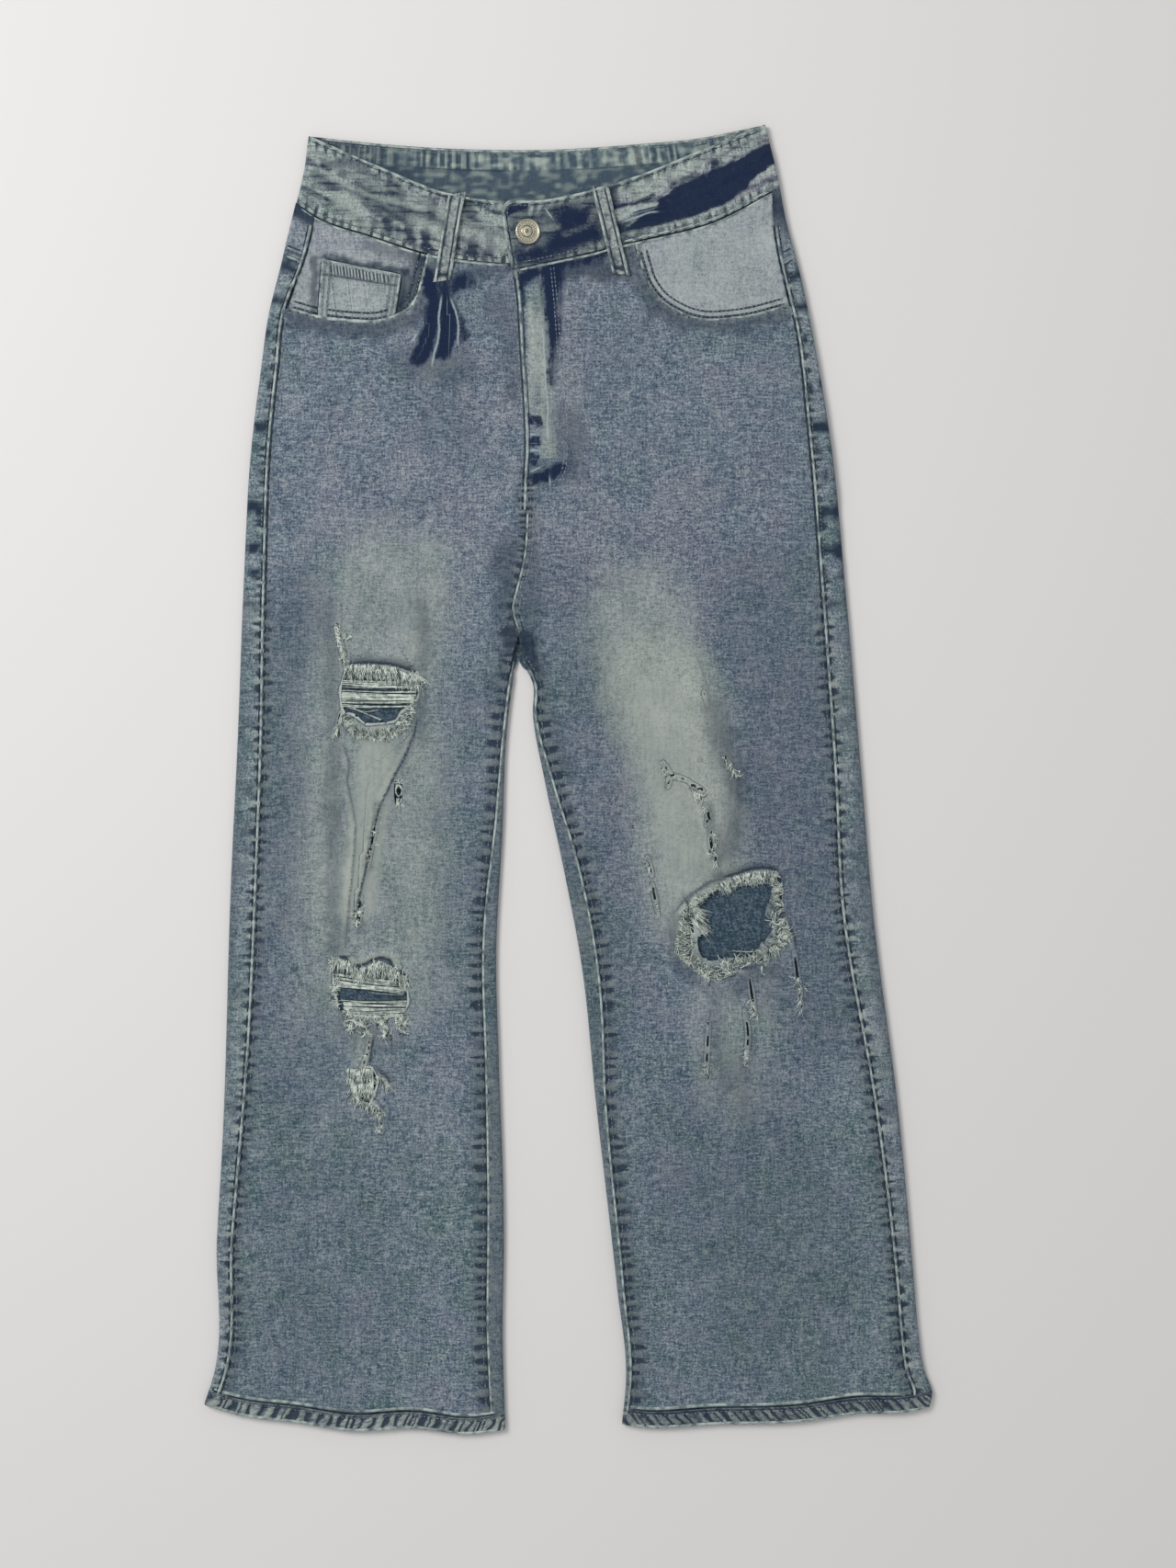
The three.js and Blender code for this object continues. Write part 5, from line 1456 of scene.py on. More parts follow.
def makeFly():
    s = fly
    down, over = evenly(60)[:, None], evenly(20)[None, :]
    leftX = mix(-38, -36, down ** 3) + 8 * np.clip((down - 0.9) / 0.1, 0, 1) ** 2
    x = mix(leftX, 9 - 6 * np.clip((down - 0.93) / 0.07, 0, 1) ** 2, over)
    y = mix(386, 240 - 6 * np.sin(np.pi * over), down)
    piece = clothMesh("fly_shield_cloth", np.stack([x, y, s["shieldLevel"] + 0 * x], -1), 0.9,
                      materials["lining"], -1,
                      paint=dict(pale=0.08 + 0 * x, ink=0.2 * np.clip(lumps(x, y, 14, 155), 0, 1)))
    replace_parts(piece, "fly_shield")
    rows, cols = evenly(70)[:, None], evenly(8)[None, :]
    x, y = mix(s["zipLeft"], s["zipRight"], cols) + 0 * rows, mix(s["zipHigh"], s["zipLow"], rows) + 0 * cols
    tape = clothMesh("zip_tape_cloth", np.stack([x, y, s["zipLevel"] + 0.12 * np.sin(y * 2.4)], -1), 0.5,
                     materials["tape"], -1)
    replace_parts(tape, "zip")
    middle = (s["zipLeft"] + s["zipRight"]) / 2
    at = np.arange(s["zipLow"] + 3, s["zipHigh"] - 12, s["toothStep"])
    shift = np.where(np.arange(len(at)) % 2, 0.5, -0.5)
    lines = [[(middle + to + k, t, s["zipLevel"] + rise) for to,
              rise in ((-2.3, 0.35), (0, 0.45), (2.3, 0.35))]
             for t, k in zip(at, shift)]
    threadMesh("zip_teeth", lines, [0.55, 0.7, 0.55], buttonMetal, 6)


button = dict(x=-31.5, y=416, radius=9.6, tilt=10, shank=1.9, marks=24, segments=72)
buttonMetal = makeButtonMetal(button)
makeFly()


def makeButton():
    s = button
    foot = underBandLevel + bandThickness / 2 + seamGap
    low = tabLevel + bandThickness / 2 + 1.7
    r, n = s["radius"], s["segments"]
    # rings from the foot of the shank over the rim to the raised middle: radius, height
    profile = [(0, foot), (s["shank"], foot)] + [(radius, low + rise) for radius, rise in (
        (s["shank"], 0), (r - 1.2, 0), (r - 0.4, 0.15), (r, 0.6), (r - 0.15, 1.1), (r - 0.7, 1.5),
        (r - 1.3, 1.55),
        (r - 1.8, 1.3), (r - 2.2, 1.15), (r - 4.4, 1.2), (r - 4.8, 1.4), (r - 5.1, 1.65), (r - 5.5, 1.6),
        (r - 5.8, 1.2), (2.7, 1.1), (2.3, 1.4), (1.7, 2.05), (0.9, 2.4), (0, 2.5))]
    tilt = math.radians(s["tilt"])
    turn = np.linspace(0, 2 * np.pi, n, endpoint=False)
    points, faces = [], []
    for radius, height in profile:
        px, py, pz = max(radius, 0.01) * np.cos(turn), max(radius, 0.01) * np.sin(turn), height - foot
        points.append(np.stack([s["x"] + px * math.cos(tilt) + pz * math.sin(tilt), s["y"] + py,
                                foot + 0.4 + pz * math.cos(tilt) - px * math.sin(tilt)], -1))
    for k in range(len(profile) - 1):
        faces += [[k * n + i, k * n + (i + 1) % n, (k + 1) * n + (i + 1) % n, (k + 1) * n + i]
                  for i in range(n)]
    faces += [list(range(n))[::-1], [(len(profile) - 1) * n + i for i in range(n)]]
    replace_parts(meshObject("waist_button", np.concatenate(points), faces, buttonMetal,
                           45), "button")


makeButton()
print("fly and button made")

# ---------- belt loops ----------
loopSettings = dict(width=12.2, thickness=1.2, length=66, bulge=1.5)
frontLoops = [dict(leg=right, top=(-85, 445.5), bottom=(-96, 379), lean=1),
              dict(leg=left, top=(24, 450), bottom=(40, 384), lean=-1)]
backLoops = dict(right=(-178, 487), centre=(-26, 478.5), left=(101, 487))


def loopPaint(across, along):
    side = np.minimum(across, 1 - across) * loopSettings["width"]
    wavy = side + 0.7 * lumps(across * 5, along * 60, 6, 155)
    dark = 0.9 * bell(wavy - 2.8, 0.7) * np.clip(0.7 + 0.5 * lumps(across * 4, along * 60, 5, 156), 0, 1)
    dark = np.maximum(dark, 0.95 * bell(along - 0.93, 0.03))
    blot = smooth(lumps(across * 6, along * 60, 7, 158), 0.3, 0.65) * 0.7
    pale = (0.52 + 0.25 * bell(side, 1.5) + 0.4 * bell(along - 0.985, 0.015)
            + 0.3 * lumps(across * 9, along * 60, 4, 157))
    return dict(pale=pale, shade=np.maximum(dark, blot), tint=0.3 * np.ones(side.shape))


def makeLoops():
    s = loopSettings
    along, across = np.meshgrid(evenly(56), evenly(16), indexing="ij")
    for spec in frontLoops:
        leg = spec["leg"]
        middle, y = (mix(spec["top"][k], spec["bottom"][k], along) for k in (0, 1))
        bandTopLevel = np.maximum(bandLevel(leg, middle - 7), bandLevel(leg, middle + 7)) + bandThickness / 2
        frontTop = np.maximum(frontBody(leg, middle - 7, y), frontBody(leg, middle + 7, y)) + denim / 2
        waist = leg["waistSeam"](middle)
        z = mix(frontTop, bandTopLevel, smooth(y, waist - 8, waist + 1)) + 0.5 + s["thickness"] / 2
        z += s["bulge"] * np.sin(np.pi * along) ** 0.8 - 0.25 * bell(along - 0.93, 0.03)
        z += 0.3 * bell(np.minimum(across, 1 - across) * s["width"], 1.6)
        wavy = 0.5 * lumps(along * 60 + spec["top"][0], across * 7, 9, 159)
        x = middle + wavy + (across - 0.5) * s["width"] * (1 + 0.1 * np.cos(np.pi * along) ** 2)
        y = y + (across - 0.5) * 1.8 * spec["lean"]
        piece = clothMesh(f"{leg['name']}_front_belt_loop", np.stack([x, y, z], -1), s["thickness"],
                          materials["seams"], -1, paint=loopPaint(across, along))
        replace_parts(piece, f"belt_loop_front_{leg['name']}")
    for place, (cx, top) in backLoops.items():
        x, y = cx + (across - 0.5) * s["width"], top - s["length"] * along
        piece = clothMesh(f"{place}_back_belt_loop",
                          np.stack([x, y, 0.62 + 0.12 * np.sin(across * np.pi)], -1), 1.1,
                          materials["seams"], 1, paint=loopPaint(across, along))
        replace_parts(piece, f"belt_loop_back_{place}")


makeLoops()
print("belt loops made")

# ---------- rolled edges and stitching ----------
frontSurface = Surface([name for name in allPieces if "back_pocket" not in name and "back_belt" not in name])


def lineBy(line, low, high, lift=0.0):  # points along a line y(x), moved up by a lift
    x = np.arange(low, high, 2.0)
    return np.stack([x, line(x) + lift], 1)


def offsetPath(path, distance, step=1.6):  # a line beside a path, to its left
    line = respace(path, step)
    ahead = np.gradient(line, axis=0)
    return line + distance * np.stack([-ahead[:, 1], ahead[:, 0]],
                                      1) / np.linalg.norm(ahead, axis=1, keepdims=True)


def makeRolls(name, rows, material="rolled", lift=-0.1, seed=5):  # each row is a path, a width and a height
    rng = np.random.default_rng(seed)
    lines, widths, heights = [], [], []
    for path, width, height in rows:
        line = frontSurface.lay(respace(path, 2.3), lift)
        n = len(line)
        if n > 9:  # even out the level along the line
            padded = np.pad(line[:, 2], 3, mode="edge")
            line[:, 2] = np.maximum(np.convolve(padded, np.ones(7) / 7, "valid"), line[:, 2] - 0.25)
        wobble = np.convolve(rng.uniform(-1, 1, n + 4), np.ones(5) / 5, "valid")
        lines.append(line)
        widths.append(width * (1 + 0.22 * wobble))
        heights.append(height * (1 + 0.35 * np.roll(wobble, 3)))
    rollMesh(name, lines, widths, heights, materials[material])


def row(path, offset=0.0, **how):
    return dict(path=offsetPath(path, offset, 0.5), **how)


tack = dict(pitch=0.75, length=0.6, radius=0.45)  # threads side by side, as in a bar tack


def makeStitches(name, rows, material="stitch", seed=9):
    rng = np.random.default_rng(seed)
    lines, radii = [], []
    for spec in rows:
        pitch, length = spec.get("pitch", 3.3), spec.get("length", 2.3)
        radius, path = spec.get("radius", 0.36), spec["path"]
        along = np.concatenate([[0], np.cumsum(np.linalg.norm(np.diff(path, axis=0), axis=1))])
        starts = np.arange(0.5, along[-1] - length, pitch)
        starts = starts + rng.uniform(-0.12, 0.12, len(starts))
        at = starts[:, None] + length * np.array([0, 0.22, 0.78, 1.0])[None, :]
        x, y = np.interp(at, along, path[:, 0]), np.interp(at, along, path[:, 1])
        if "level" in spec:  # a row on the underside
            z = spec["level"] - radius * np.array([-0.7, 0.45, 0.45, -0.7]) + 0 * x
        else:
            z = frontSurface.heights(x[:, 1:3].mean(1), y[:, 1:3].mean(1))[:, None] + 0 * x
            z = z + radius * np.array([-0.7, 0.45, 0.45, -0.7])
        lines.append(np.stack([x, y, z], -1))
        radii.append(np.full(x.shape, radius) * np.array([0.7, 1, 1, 0.7]))
    threadMesh(name, np.concatenate(lines), np.concatenate(radii), materials[material], 4)


# rows that the edges, the painted seam shadow lines and the stitches share
def topEdges(drop, middleGap=0.0):  # along the upper edges of the waistband's two fronts
    return [lineBy(right["bandTop"], -195, -51 - middleGap, -drop),
            lineBy(left["bandTop"], -45 + middleGap, 149, -drop)]


def waistSeams(lift, gap=0.0):
    return [lineBy(right["waistSeam"], -203, -48 - gap, lift),
            lineBy(left["waistSeam"], -37 + gap, 156, lift)]


def hemRows(lift, end=0):
    return [lineBy(right["hemLine"], -270 - end, -54, lift),
            lineBy(left["hemLine"], 47 - end, 268 + end, lift)]


def legRows(kind, low, high, offset):
    return [seamPath(leg, kind, low, high, offset) for leg in legs]


tabEdge = smoothPath(pairs(-42.4, 389.5, -45, 402, -48, 420, -49.2, 430, -48, 436.5, -44, 439.3, -38,
                           439.6), 1.5)
jSeam = smoothPath(pairs(-11, 390, -8, 359, -5, 314, -1, 275, -1, 245, -4, 231, -14, 222, -31, 218), 2)
flyRidge = smoothPath(pairs(-40, 387, -37, 366, -35, 331, -32, 284, -31, 252, -32, 234, -33, 205), 2)
# -1: front lies right of it
scoopLines = [(smoothPath(pocketScoops["right"], 2), -1), (smoothPath(pocketScoops["left"], 2), 1)]
coinTop, coinOuter, coinInner = ([(-187, 395.5), (-128, 384)], [(-187, 395.5), (-190, 354)],
                                 [(-128, 384), (-132.5, 354)])
yokeRows = []
for low, high in ((-216, -203), (163, 171)):
    x = np.linspace(low, high, 6)
    yokeRows += [(np.stack([x, yokeSeam(x) + 3.2], 1), 1), (np.stack([x, yokeSeam(x) - 3.4], 1), -1)]


def loopRows(spec, out, lift):  # the two lines along a belt loop, that far out from its middle
    ends = np.array([spec["top"], spec["bottom"]], float)
    return [respace(ends + [side * out, side * lift * spec["lean"]], 1.7) for side in (-1, 1)]


def loopFoot(spec, share, half=5.0):
    foot = mix(*np.array([spec["top"], spec["bottom"]], float), share)
    return np.array([foot + [-half, -0.7 * spec["lean"]], foot + [half, 0.7 * spec["lean"]]])


def sized(paths, width, height=0.16):
    return [(path, width, height) for path in paths]


makeRolls("waistband_rolled_edges", sized(topEdges(1.0), 2.0, 0.75) + sized([tabEdge], 2.3, 0.9)
          + sized([lineBy(backBandTop, -188, 146, -1.0)], 1.6, 0.5) + sized(waistSeams(-2.0), 1.8, 0.42)
          + sized([lineBy(left["waistSeam"], 42, 152, 1.6)], 1.5, 0.35), seed=201)
makeRolls("pocket_rolled_edges", sized([offsetPath(path, 1.1 * side) for path, side in scoopLines], 2.8, 0.9)
          + sized([coinTop, coinOuter, coinInner], 1.6, 0.5), seed=203)
makeRolls("leg_seam_edges", sized(legRows("side", -470, 424, 1.3), 1.7, 0.6)
          + sized(legRows("inseam", -482, 92, -1.2), 1.7, 0.5), seed=205)
makeRolls("fly_and_seat_seam_edges", sized([flyRidge], 2.0, 0.8)
          + sized([seamPath(left, "centre", 113, 206, 1.1)], 1.8, 0.6), seed=207)
makeRolls("yoke_seam_edges", sized([path for path, _ in yokeRows], 1.4, 0.35), seed=209)
makeRolls("hem_rolled_edges", sized(hemRows(1.0), 2.0, 0.6) + sized(hemRows(hemHeight + 2.4), 2.3, 0.4),
          seed=211)
makeRolls("belt_loop_rolled_edges",
          sized([path for spec in frontLoops for path in loopRows(spec, 5.3, 0.7)], 1.9, 0.5), seed=213)

# thin dark strips beside each ridge: painted shade in the seam grooves
seamShadowLines = (sized(topEdges(3.3, 4), 1.0) + sized(waistSeams(-0.3, 2), 1.3)
           + sized([lineBy(right["waistSeam"], -203, -50, 3.4)], 0.8)
           + sized([offsetPath(tabEdge, -2.2)], 1.3) + sized(legRows("side", -470, 424, -0.7), 1.4)
           + sized(legRows("side", -470, 424, 3.0), 1.1) + sized(legRows("inseam", -482, 92, 0.3), 1.3)
           + sized([offsetPath(flyRidge, -2.0)], 1.0) + sized([offsetPath(flyRidge, 1.8)], 0.8)
           + sized([seamPath(left, "centre", 113, 230, -0.4)], 1.2)
           + sized([path + [0, 1.6 * side] for path, side in yokeRows], 1.2)
           + sized(hemRows(hemHeight + 0.6), 1.3) + sized(hemRows(hemHeight - 2.6), 1.0)
           + sized([np.array(coinTop) + [0.5, 1.2], np.array(coinOuter) - [1.2, 0],
                    np.array(coinInner) + [1.2, 0]], 1.1))
for path, side in scoopLines:
    seamShadowLines += sized([offsetPath(path, 3.5 * side)], 1.7) + sized([offsetPath(path, 7.8 * side)], 1.5)
for spec in frontLoops:
    seamShadowLines += sized(loopRows(spec, 3.6, 0.5), 1.0) + sized([loopFoot(spec, 0.93)], 2.2)
makeRolls("painted_seam_shadow_lines", seamShadowLines, "seamShadow", 0.0, seed=215)
print("rolled edges made")

makeStitches("waistband_stitches", [row(path) for path in topEdges(3.6, 4) + waistSeams(3.4, 3)]
             + [row(tabEdge, -3.0), row(lineBy(backBandTop, -186, 145, -3.2), radius=0.4)], "seamStitch",
             seed=221)
makeStitches("pocket_stitches", [row(path, side * distance) for path,
                                 side in scoopLines for distance in (3.5, 7.8)]
             + [row(coinTop, offset, pitch=2.4, length=1.7) for offset in (-2.0, -8.6)]
             + [row(path, side * offset) for path, side in ((coinOuter, 1), (coinInner, -1))
                for offset in (1.8, 5.4)],
             "seamStitch", seed=223)
makeStitches("fly_stitches", [row(jSeam), row(jSeam, -2.4), row(flyRidge, -3.2),
                              row(seamPath(left, "centre", 113, 229, 3.4)),
                              row(seamPath(left, "centre", 113, 226, 6.0)),
                              row([(-31, 218.5), (-31, 210)], **tack),
                              row([(-4.5, 243.5), (-0.5, 238)], **tack)], seed=225)
makeStitches("leg_seam_stitches",
             [row(path) for path in legRows("side", 140, 426, 3.6) + legRows("inseam", -480, 95, 2.6)]
             + [row(path, radius=0.3) for path in legRows("side", -470, 345, -2.6)], "seamStitch", seed=227)
makeStitches("yoke_front_stitches", [row(path + [0, lift]) for path,
                                     _ in yokeRows for lift in (-1.0, 3.0)], seed=229)
makeStitches("hem_stitches", [row(path, radius=0.42) for path in hemRows(hemHeight - 2.4, 1)], seed=231)
makeStitches("belt_loop_stitches", [row(path) for spec in frontLoops for path in loopRows(spec, 3.2, 0.45)]
             + [row(loopFoot(spec, 0.94, 5.2), **tack) for spec in frontLoops], "darkStitch", seed=233)
makeStitches("waistband_bar_tacks",
             [row(path, **tack) for path in ([(-184, 484.5), (-174, 482.5)], [(-31, 476), (-20.5, 474.5)],
                                             [(97, 483), (106, 485)])], "darkStitch", seed=235)


def underStitches():  # rows on the underside, pressed flush with the cloth that rests on the surface
    rows = []
    for s in backPockets.values():
        outline = [s["top"][0], s["low"][0], s["tip"], s["low"][1], s["top"][1]]
        rows += [(row(outline, inset), 0)
                 for inset in (1.8, 7.0)] + [(row(np.array(s["top"], float) - [0, 12]), 0)]
    for cx, top in backLoops.values():
        rows += [(row([(cx + side * 3.2, top - 1), (cx + side * 3.2, top - 64)]), 0) for side in (-1, 1)]
        rows += [(row([(cx - 5.2, top - t), (cx + 5.2, top - t)], **tack), 0) for t in (3, 62)]
    rows += [(row(lineBy(line, -196, 152, lift)), 1.5) for line,
             lift in ((yokeSeam, 3), (yokeSeam, 9), (backSeam, 3),
                      (backBandTop, -3.5))]
    y = np.arange(110, 428, 4.0)
    rows += [(row(np.stack([centreBack(y) + side, y], 1)), 0) for side in (2.5, 8)]
    rows += [(row(path), 0) for path in hemRows(hemHeight - 2.4)]
    return [dict(dict(pitch=4.2, length=3.0), **spec, level=level + 1.45 * spec.get("radius", 0.36))
            for spec, level in rows]


makeStitches("underside_stitches", underStitches(), seed=237)
print("stitching made")

# ---------- frayed threads ----------
def overFront(leg, x, y):
    swell = 0.9 * lumps(x, y, 70, 7) + 0.5 * lumps(x, y, 34, 8) + 0.16 * lumps(x, y, 12, 9)
    return frontBody(leg, x, y) + denim / 2 + creaseHeight(leg["name"], x, y) + swell


class Fray:  # collects loose threads for one leg
    def __init__(self, leg, seed):
        self.leg, self.rng, self.lines, self.radii = leg, np.random.default_rng(seed), [], []

    def add(self, x, y, lift, radius):
        self.lines.append(np.stack([x, y, overFront(self.leg, x, y) + lift], -1))
        self.radii.append(radius + 0 * x)

    # threads that grow from x, y; each starts in a direction and bends on the way
    def grow(self, x, y, turn, bend, size, rise, radius):
        px = np.concatenate([x[:, None],
                             x[:, None] + np.cumsum(np.cos(turn[:, None] + bend) * size[:, None], 1)], 1)
        py = np.concatenate([y[:, None],
                             y[:, None] + np.cumsum(np.sin(turn[:, None] + bend) * size[:, None], 1)], 1)
        self.add(px, py, rise, radius)

    # threads that start on a line and hang or stand off it; heading in degrees from +x, or a side of the line
    def fringe(self, path, heading, length, count, spreadAngle=18, curl=14, lift=(0.5, 0.3), radius=0.27,
               clump=5):
        rng = self.rng
        line = respace(smoothPath(pairs(*path), 1.0), count=400)
        at = rng.uniform(0, 399, count)
        gap = 2000 / count * clump
        at = np.clip(mix(at, np.round(at / gap) * gap, 0.25), 0, 399)
        x, y = (np.interp(at, np.arange(400), line[:, k]) + rng.normal(0, 0.5, count) for k in (0, 1))
        group = (at / 399 * (count // clump)).astype(int)
        groups = rng.normal(0, spreadAngle * 0.8, count // clump + 2)[group]
        grown = rng.uniform(0.65, 1.15, count // clump + 2)[group]
        if isinstance(heading, str):
            ahead = np.gradient(line, axis=0)
            angle = np.degrees(np.unwrap(np.arctan2(ahead[:, 1], ahead[:, 0]))) + (90 if heading == "left"
                                                                                   else -90)
            heading = np.interp(at, np.arange(400), angle)
        turn = np.radians(heading + groups + rng.normal(0, spreadAngle * 0.5, count))
        steps = 6
        size = grown * rng.uniform(*length, count) / (steps - 1)
        bend = np.cumsum(rng.normal(0, math.radians(curl), (count, steps - 1)), 1)
        rise = lift[0] * rng.uniform(0.3, 1.6, count)[:, None] * np.sin(np.linspace(0.2, 2.6, steps))[None, :]
        rise = rise + np.linspace(0, lift[1], steps)[None, :] * rng.uniform(0, 1, count)[:, None]
        thick = radius * rng.uniform(0.7, 1.25, count)[:, None] * np.linspace(1, 0.45, steps)[None, :]
        self.grow(x, y, turn, bend, size, rise, thick)

    # curly knots of thread along a line, gathered in tufts with gaps between
    def tangle(self, path, width, count, length=(3, 7), curl=45, lift=0.9):
        rng = self.rng
        line = smoothPath(pairs(*path), 0.8)
        tufts = max(2, int(len(line) * 0.8 / 2.6))
        home = rng.integers(0, tufts, count)
        at = ((home + 0.5) / tufts + rng.normal(0, 0.18 / tufts, count)) * (len(line) - 1)
        x, y = (np.interp(at, np.arange(len(line)), line[:, k]) + rng.normal(0, width / 4, tufts)[home]
                + rng.normal(0, width / 8, count) for k in (0, 1))
        steps = 7
        turn = rng.uniform(0, 2 * np.pi, tufts)[home] + rng.normal(0, 0.5, count)
        size = rng.uniform(*length, count) / (steps - 1)
        bend = np.cumsum(rng.normal(0, math.radians(curl), (count, steps - 1))
                         + rng.normal(0, math.radians(curl * 0.6), count)[:, None], 1)
        rise = 0.1 + lift * rng.uniform(0.1, 1.0,
                                        count)[:, None] * np.sin(np.linspace(0.1, 3.0, steps))[None, :]
        self.grow(x, y, turn, bend, size, rise, 0.28 * rng.uniform(0.7, 1.3, count)[:, None])

    # weft threads left across an opening, in bundles, from a left line to a right line
    def weft(self, leftLine, rightLine, bundles, perBundle, sag=0.6, radius=0.33, thick=1.6):
        rng = self.rng
        leftLine, rightLine = np.array(pairs(*leftLine), float), np.array(pairs(*rightLine), float)
        for share in bundles:
            start, end = mix(leftLine[0], leftLine[1], share), mix(rightLine[0], rightLine[1], share)
            t = evenly(9)[None, :]
            a, b = (rng.normal(0, thick / 2.2, perBundle)[:, None] for _ in range(2))
            x = mix(start[0] + rng.uniform(-2, 1, perBundle)[:, None],
                    end[0] + rng.uniform(-1, 2, perBundle)[:, None], t)
            wave = 0.25 * np.cumsum(rng.normal(0, 0.6, (perBundle, 9)), 1) * np.sin(np.pi * t)
            y = mix(start[1] + a, end[1] + b, t) - sag * np.sin(np.pi * t) + wave
            lift = -0.4 * np.sin(np.pi * t) + rng.uniform(-0.35, 0.35, perBundle)[:, None] + 0 * x
            self.add(x, y, lift, radius * rng.uniform(0.8, 1.2, perBundle)[:, None])

    def make(self):
        for steps in sorted({line.shape[1] for line in self.lines}):
            chosen = [i for i, line in enumerate(self.lines) if line.shape[1] == steps]
            lines, radii = (np.concatenate([part[i] for i in chosen]) for part in (self.lines, self.radii))
            dark = self.rng.uniform(0, 1, len(lines)) < 0.3  # indigo yarns lie lower, between the white ones; their dark colour is partly painted shade between the threads
            lines[dark, :, 2] -= 0.25
            for kind, share in (("white", ~dark), ("dyed", dark)):
                threadMesh(f"{self.leg['name']}_{kind}_threads_{steps}", lines[share], radii[share],
                           materials["fray" if kind == "white" else "indigoAndShadowFray"], 3)


fray = Fray(right, 301)
# thigh tear
top, low = (1.2, -0.5), (1.6, 0.0)
fray.fringe((-169, 87, -151, 87, -132, 85, -123, 80, -112, 78), -88, (8, 15), 420, 9, 7, top)
fray.fringe((-167, 84, -151, 85, -132, 83), -84, (4, 8), 160, 14, 12, low)
fray.tangle((-120, 78, -113, 74), 5.5, 70, (4, 8), 40, 1.6)
fray.fringe((-120, 81, -111, 78), -62, (7, 12), 40, 14, 10, (1.2, 0.0))
fray.weft((-172, 75, -173, 57), (-118, 73, -118, 56), [0.0, 0.14, 0.34, 0.5, 0.68, 0.84, 1.0], 9)
fray.weft((-170, 59, -170, 56), (-144, 46, -142, 45), [0.5], 4, sag=0, thick=0.7)
fray.weft((-167, 56, -167, 54), (-144, 54, -146, 52), [0.5], 2, sag=1.5, thick=0.8, radius=0.22)
fray.fringe((-172, 47, -167, 36, -157, 31, -144, 31, -132, 33, -122, 40, -116, 53), "left", (5, 9), 330,
            18, 12, low)
fray.tangle((-168, 43, -160, 35, -151, 34, -135, 35, -126, 43, -122, 52), 4.5, 120, (3, 6), 34, 1.6)
fray.fringe((-160, 35, -151, 33, -135, 35, -123, 40), -92, (3, 7), 60, 30, 20)
fray.fringe((-171, 52, -174, 43, -178, 33), -112, (5, 9), 90, 12, 8, (1.2, 0.0))
fray.tangle((-177, 116, -174, 103, -171, 92, -167, 84), 3.0, 60, (3, 5), 34, 1.1)
fray.fringe((-178, 117, -174, 103, -170, 88), -76, (4, 8), 90, 14, 10, (1.2, 0.1))
fray.tangle((-178, 119, -174, 115), 4.0, 34, (2, 4), 60, 1.8)
fray.tangle((-174, 108, -167, 110), 2.4, 24, (3, 6), 40, 1.0)
# knot and frays on the crease below it; the knot is a ring of thread standing on the crease
for turn in (0.0, 0.35, 0.7):
    around = np.linspace(0, 2 * np.pi, 7)[None, :] + turn
    fray.add(-129 + (2.3 + turn) * np.cos(around), -8.5 + (4.2 + turn) * np.sin(around),
             0.6 + 0.4 * np.sin(around), 0.42)
fray.tangle((-130, -2, -129, -4), 3.0, 20, (3, 5), 50, 1.5)
fray.fringe((-130, -14, -127, -15), -90, (5, 9), 22, 10, 10)
fray.tangle((-145, -25, -146, -40, -153, -64), 1.8, 50, (2, 5), 40, 0.7)
fray.tangle((-159, -94, -160, -110), 3.6, 60, (3, 7), 50, 1.4)
# knee tear
kneeTop = (-180, -138, -170, -138, -158, -144, -144, -140, -135, -143, -123, -152)
fray.fringe(kneeTop, -90, (8, 14), 460, 12, 9, (1.5, -0.5))
fray.tangle(kneeTop, 3.4, 130, (3, 7), 40, 1.8)
fray.weft((-177, -148, -176, -157), (-124, -155, -125, -161), [0.0, 0.35, 0.7, 1.0], 8)
fray.weft((-172, -169, -169, -177), (-124, -169, -125, -179), [0.0, 0.3, 0.62, 0.95], 8)
fray.weft((-154, -161, -154, -162), (-125, -164, -125, -165), [0.5], 2, radius=0.2)
for path, width, count in (((-168, -177, -163, -188), 5.5, 90), ((-157, -185, -154, -192), 4, 50),
                           ((-144, -182, -139, -196), 5.5, 90), ((-129, -179, -125, -190), 4.5, 80)):
    fray.tangle(path, width, count, (4, 8), 36, 1.4)
fray.tangle((-178, -150, -176, -171), 3.4, 70, (3, 7), 30, 1.2)
fray.fringe((-167, -178, -146, -180, -126, -179), -90, (4, 9), 110, 24, 18)
# below the knee
fray.fringe((-168, -221, -158, -222), -92, (10, 15), 90, 8, 6, (1.2, 0.0))
fray.fringe((-161, -220, -149, -221), -88, (9, 14), 90, 8, 6, (1.2, 0.0))
fray.fringe((-165, -231, -156, -232, -149, -231), -90, (9, 14), 190, 9, 7, (1.0, 0.3))
fray.fringe((-150, -227, -143, -227, -138, -232), -60, (5, 9), 80, 20, 14, (1.4, 0.0))
fray.fringe((-164, -238, -156, -245, -144, -250), -80, (6, 10), 120, 18, 12, (1.4, 0.0))
fray.tangle((-144, -252, -142, -269), 3.0, 60, (3, 6), 38, 1.1)
fray.tangle((-151, -196, -153, -210, -157, -221), 1.8, 30, (2, 5), 34, 0.6)
fray.make()

fray = Fray(left, 401)
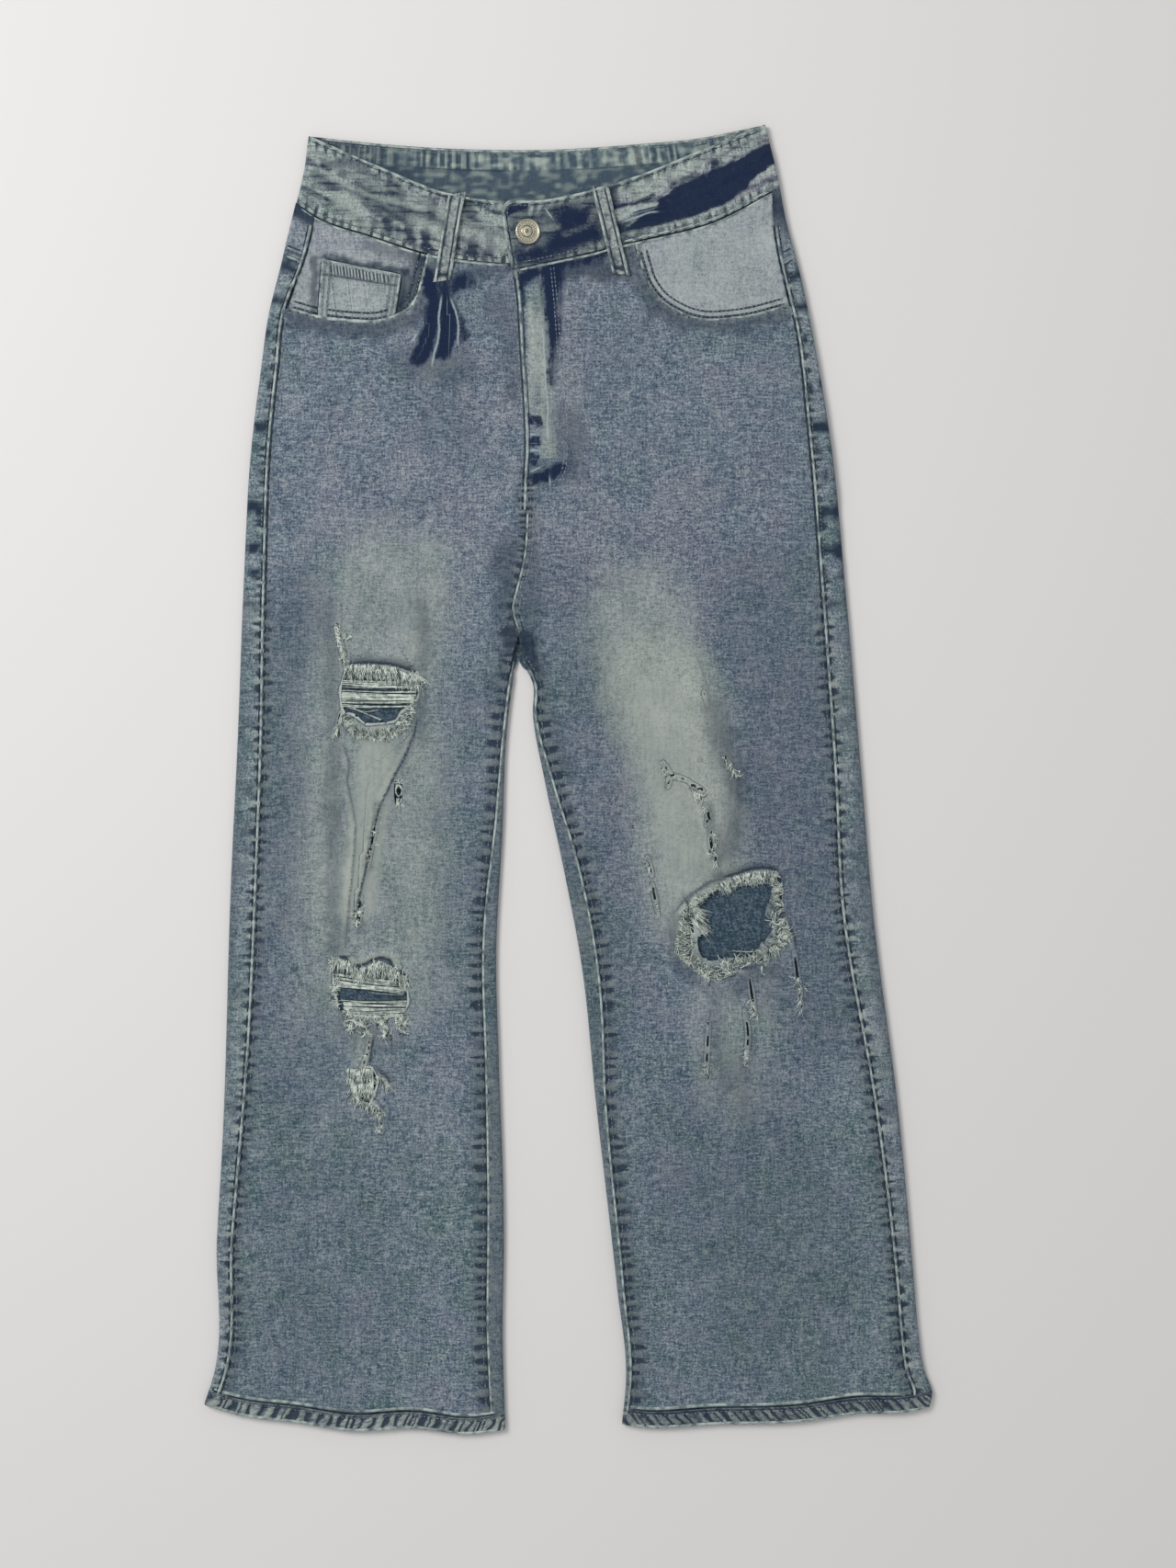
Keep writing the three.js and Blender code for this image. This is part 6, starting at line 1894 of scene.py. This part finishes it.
# left knee: a thick fringe combed from its outer edge in to the hole
outerRight = (160, -71, 163, -80, 163, -92, 166, -106, 169, -119, 162, -130)
outerLow = (167, -123, 159, -134, 152, -138, 136, -141, 127, -148, 116, -152, 106, -152, 96, -145, 86, -137)
outerLeft = (86, -137, 82, -129, 84, -113, 88, -101, 97, -89)
for path, length, count, angle, curl, lift, clump in (
        ((114, -80, 127, -74, 142, -71, 156, -70, 160, -71), (7, 11), 280, 14, 8, 1.3, 9),
        ((93, -95, 102, -88, 114, -80), (3, 6), 110, 24, 12, 1.3, 9),
        ((116, -80, 135, -76, 155, -75), (3, 7), 70, 30, 16, 1.9, 8),
        (outerRight, (6, 10), 240, 26, 14, 1.6, 10), (outerLow, (7, 14), 330, 28, 14, 1.7, 12),
        (outerLeft, (6, 12), 210, 30, 14, 1.7, 11)):
    fray.fringe(path, "right", length, count, angle, curl, (lift, -0.2), clump=clump)
for path, count in (((157, -96, 160, -110, 160, -122, 152, -131), 70),
                    ((152, -134, 136, -138, 121, -143, 107, -145, 97, -140), 100),
                    ((93, -137, 92, -127, 92, -116, 93, -105, 97, -99), 60)):
    fray.tangle(path, 9.0, count, (3, 8), 30, 2.4)
fray.fringe((95, -95, 95, -103, 97, -110), -38, (11, 18), 70, 8, 6, (1.6, 0.3))
fray.fringe((163, -117, 167, -123), -14, (5, 10), 30, 20, 12, (1.0, 0.2))
fray.weft((127, -131, 127, -135), (146, -130, 146, -133), [0.0, 1.0], 6, radius=0.3, thick=0.9)
# tufts on the slits: a width, a count, and the line they stand on
for width, count, *xy in ((6, 80, 119, 17, 129, 3), (4.6, 80, 71, 13, 76, 4, 76, -5),
                          (5.6, 70, 95, -6, 102, -14), (1.2, 16, 78, 3, 89, 0),
                          (3, 20, 104, -21, 105, -25), (5, 40, 110, -40, 112, -49),
                          (5, 40, 111, -54, 113, -63), (4.6, 34, 59, -59, 62, -67),
                          (3.6, 20, 63, -80, 65, -85), (4.8, 34, 67, -92, 68, -101),
                          (6, 90, 174, -150, 177, -162, 177, -175), (5.8, 70, 139, -166, 142, -180),
                          (5.8, 60, 135, -203, 136, -216), (5.8, 56, 105, -213, 106, -226)):
    fray.tangle(xy, width, count // 3, (2, 5), 40, 1.3)
    fray.fringe(xy, -94, (3, 6.5), count // 2, 24, 16, (1.1, 0.2), radius=0.24)
fray.make()
print("frayed threads made")

# ---------- floor, light and camera ----------
floorSize, floorColor = 6.0, (0.8, 0.785, 0.775)


def makeFloor():
    s = floorSize / 2
    mesh = bpy.data.meshes.new("floor")
    mesh.from_pydata([(-s, -s, 0), (s, -s, 0), (s, s, 0), (-s, s, 0)], [], [(0, 1, 2, 3)])
    mesh.materials.append(newMaterial("pale floor", roughness=0.6, color=floorColor)[0])
    floor = bpy.data.objects.new("floor", mesh)
    bpy.context.scene.collection.objects.link(floor)
    floor.location.z = -0.0003


def makeLight(name, location, aim, size, power, color):
    data = bpy.data.lights.new(name, "AREA")
    data.shape, data.size, data.energy, data.color = "DISK", size, power, color
    lamp = bpy.data.objects.new(name, data)
    lamp.location = location
    lamp.rotation_euler = (Vector(aim) - Vector(location)).to_track_quat("-Z", "Y").to_euler()
    bpy.context.scene.collection.objects.link(lamp)


makeFloor()
makeLight("soft key", (-1.4, 0.9, 2.1), (0, 0, 0), 1.3, 38, (1.0, 0.985, 0.96))
world = bpy.data.worlds.new("studio")
world.use_nodes = True
world.node_tree.nodes["Background"].inputs[0].default_value = (0.97, 0.985, 1.0, 1)
world.node_tree.nodes["Background"].inputs[1].default_value = 0.5
bpy.context.scene.world = world
bpy.context.scene.view_settings.view_transform = "Standard"

cameraData = bpy.data.cameras.new("camera")
cameraData.lens, cameraData.sensor_width = 60, 36
camera = bpy.data.objects.new("camera", cameraData)
camera.location = (0.01505, -0.0035, 1.995)  # straight above, with the waist at the top
bpy.context.scene.collection.objects.link(camera)
bpy.context.scene.camera = camera
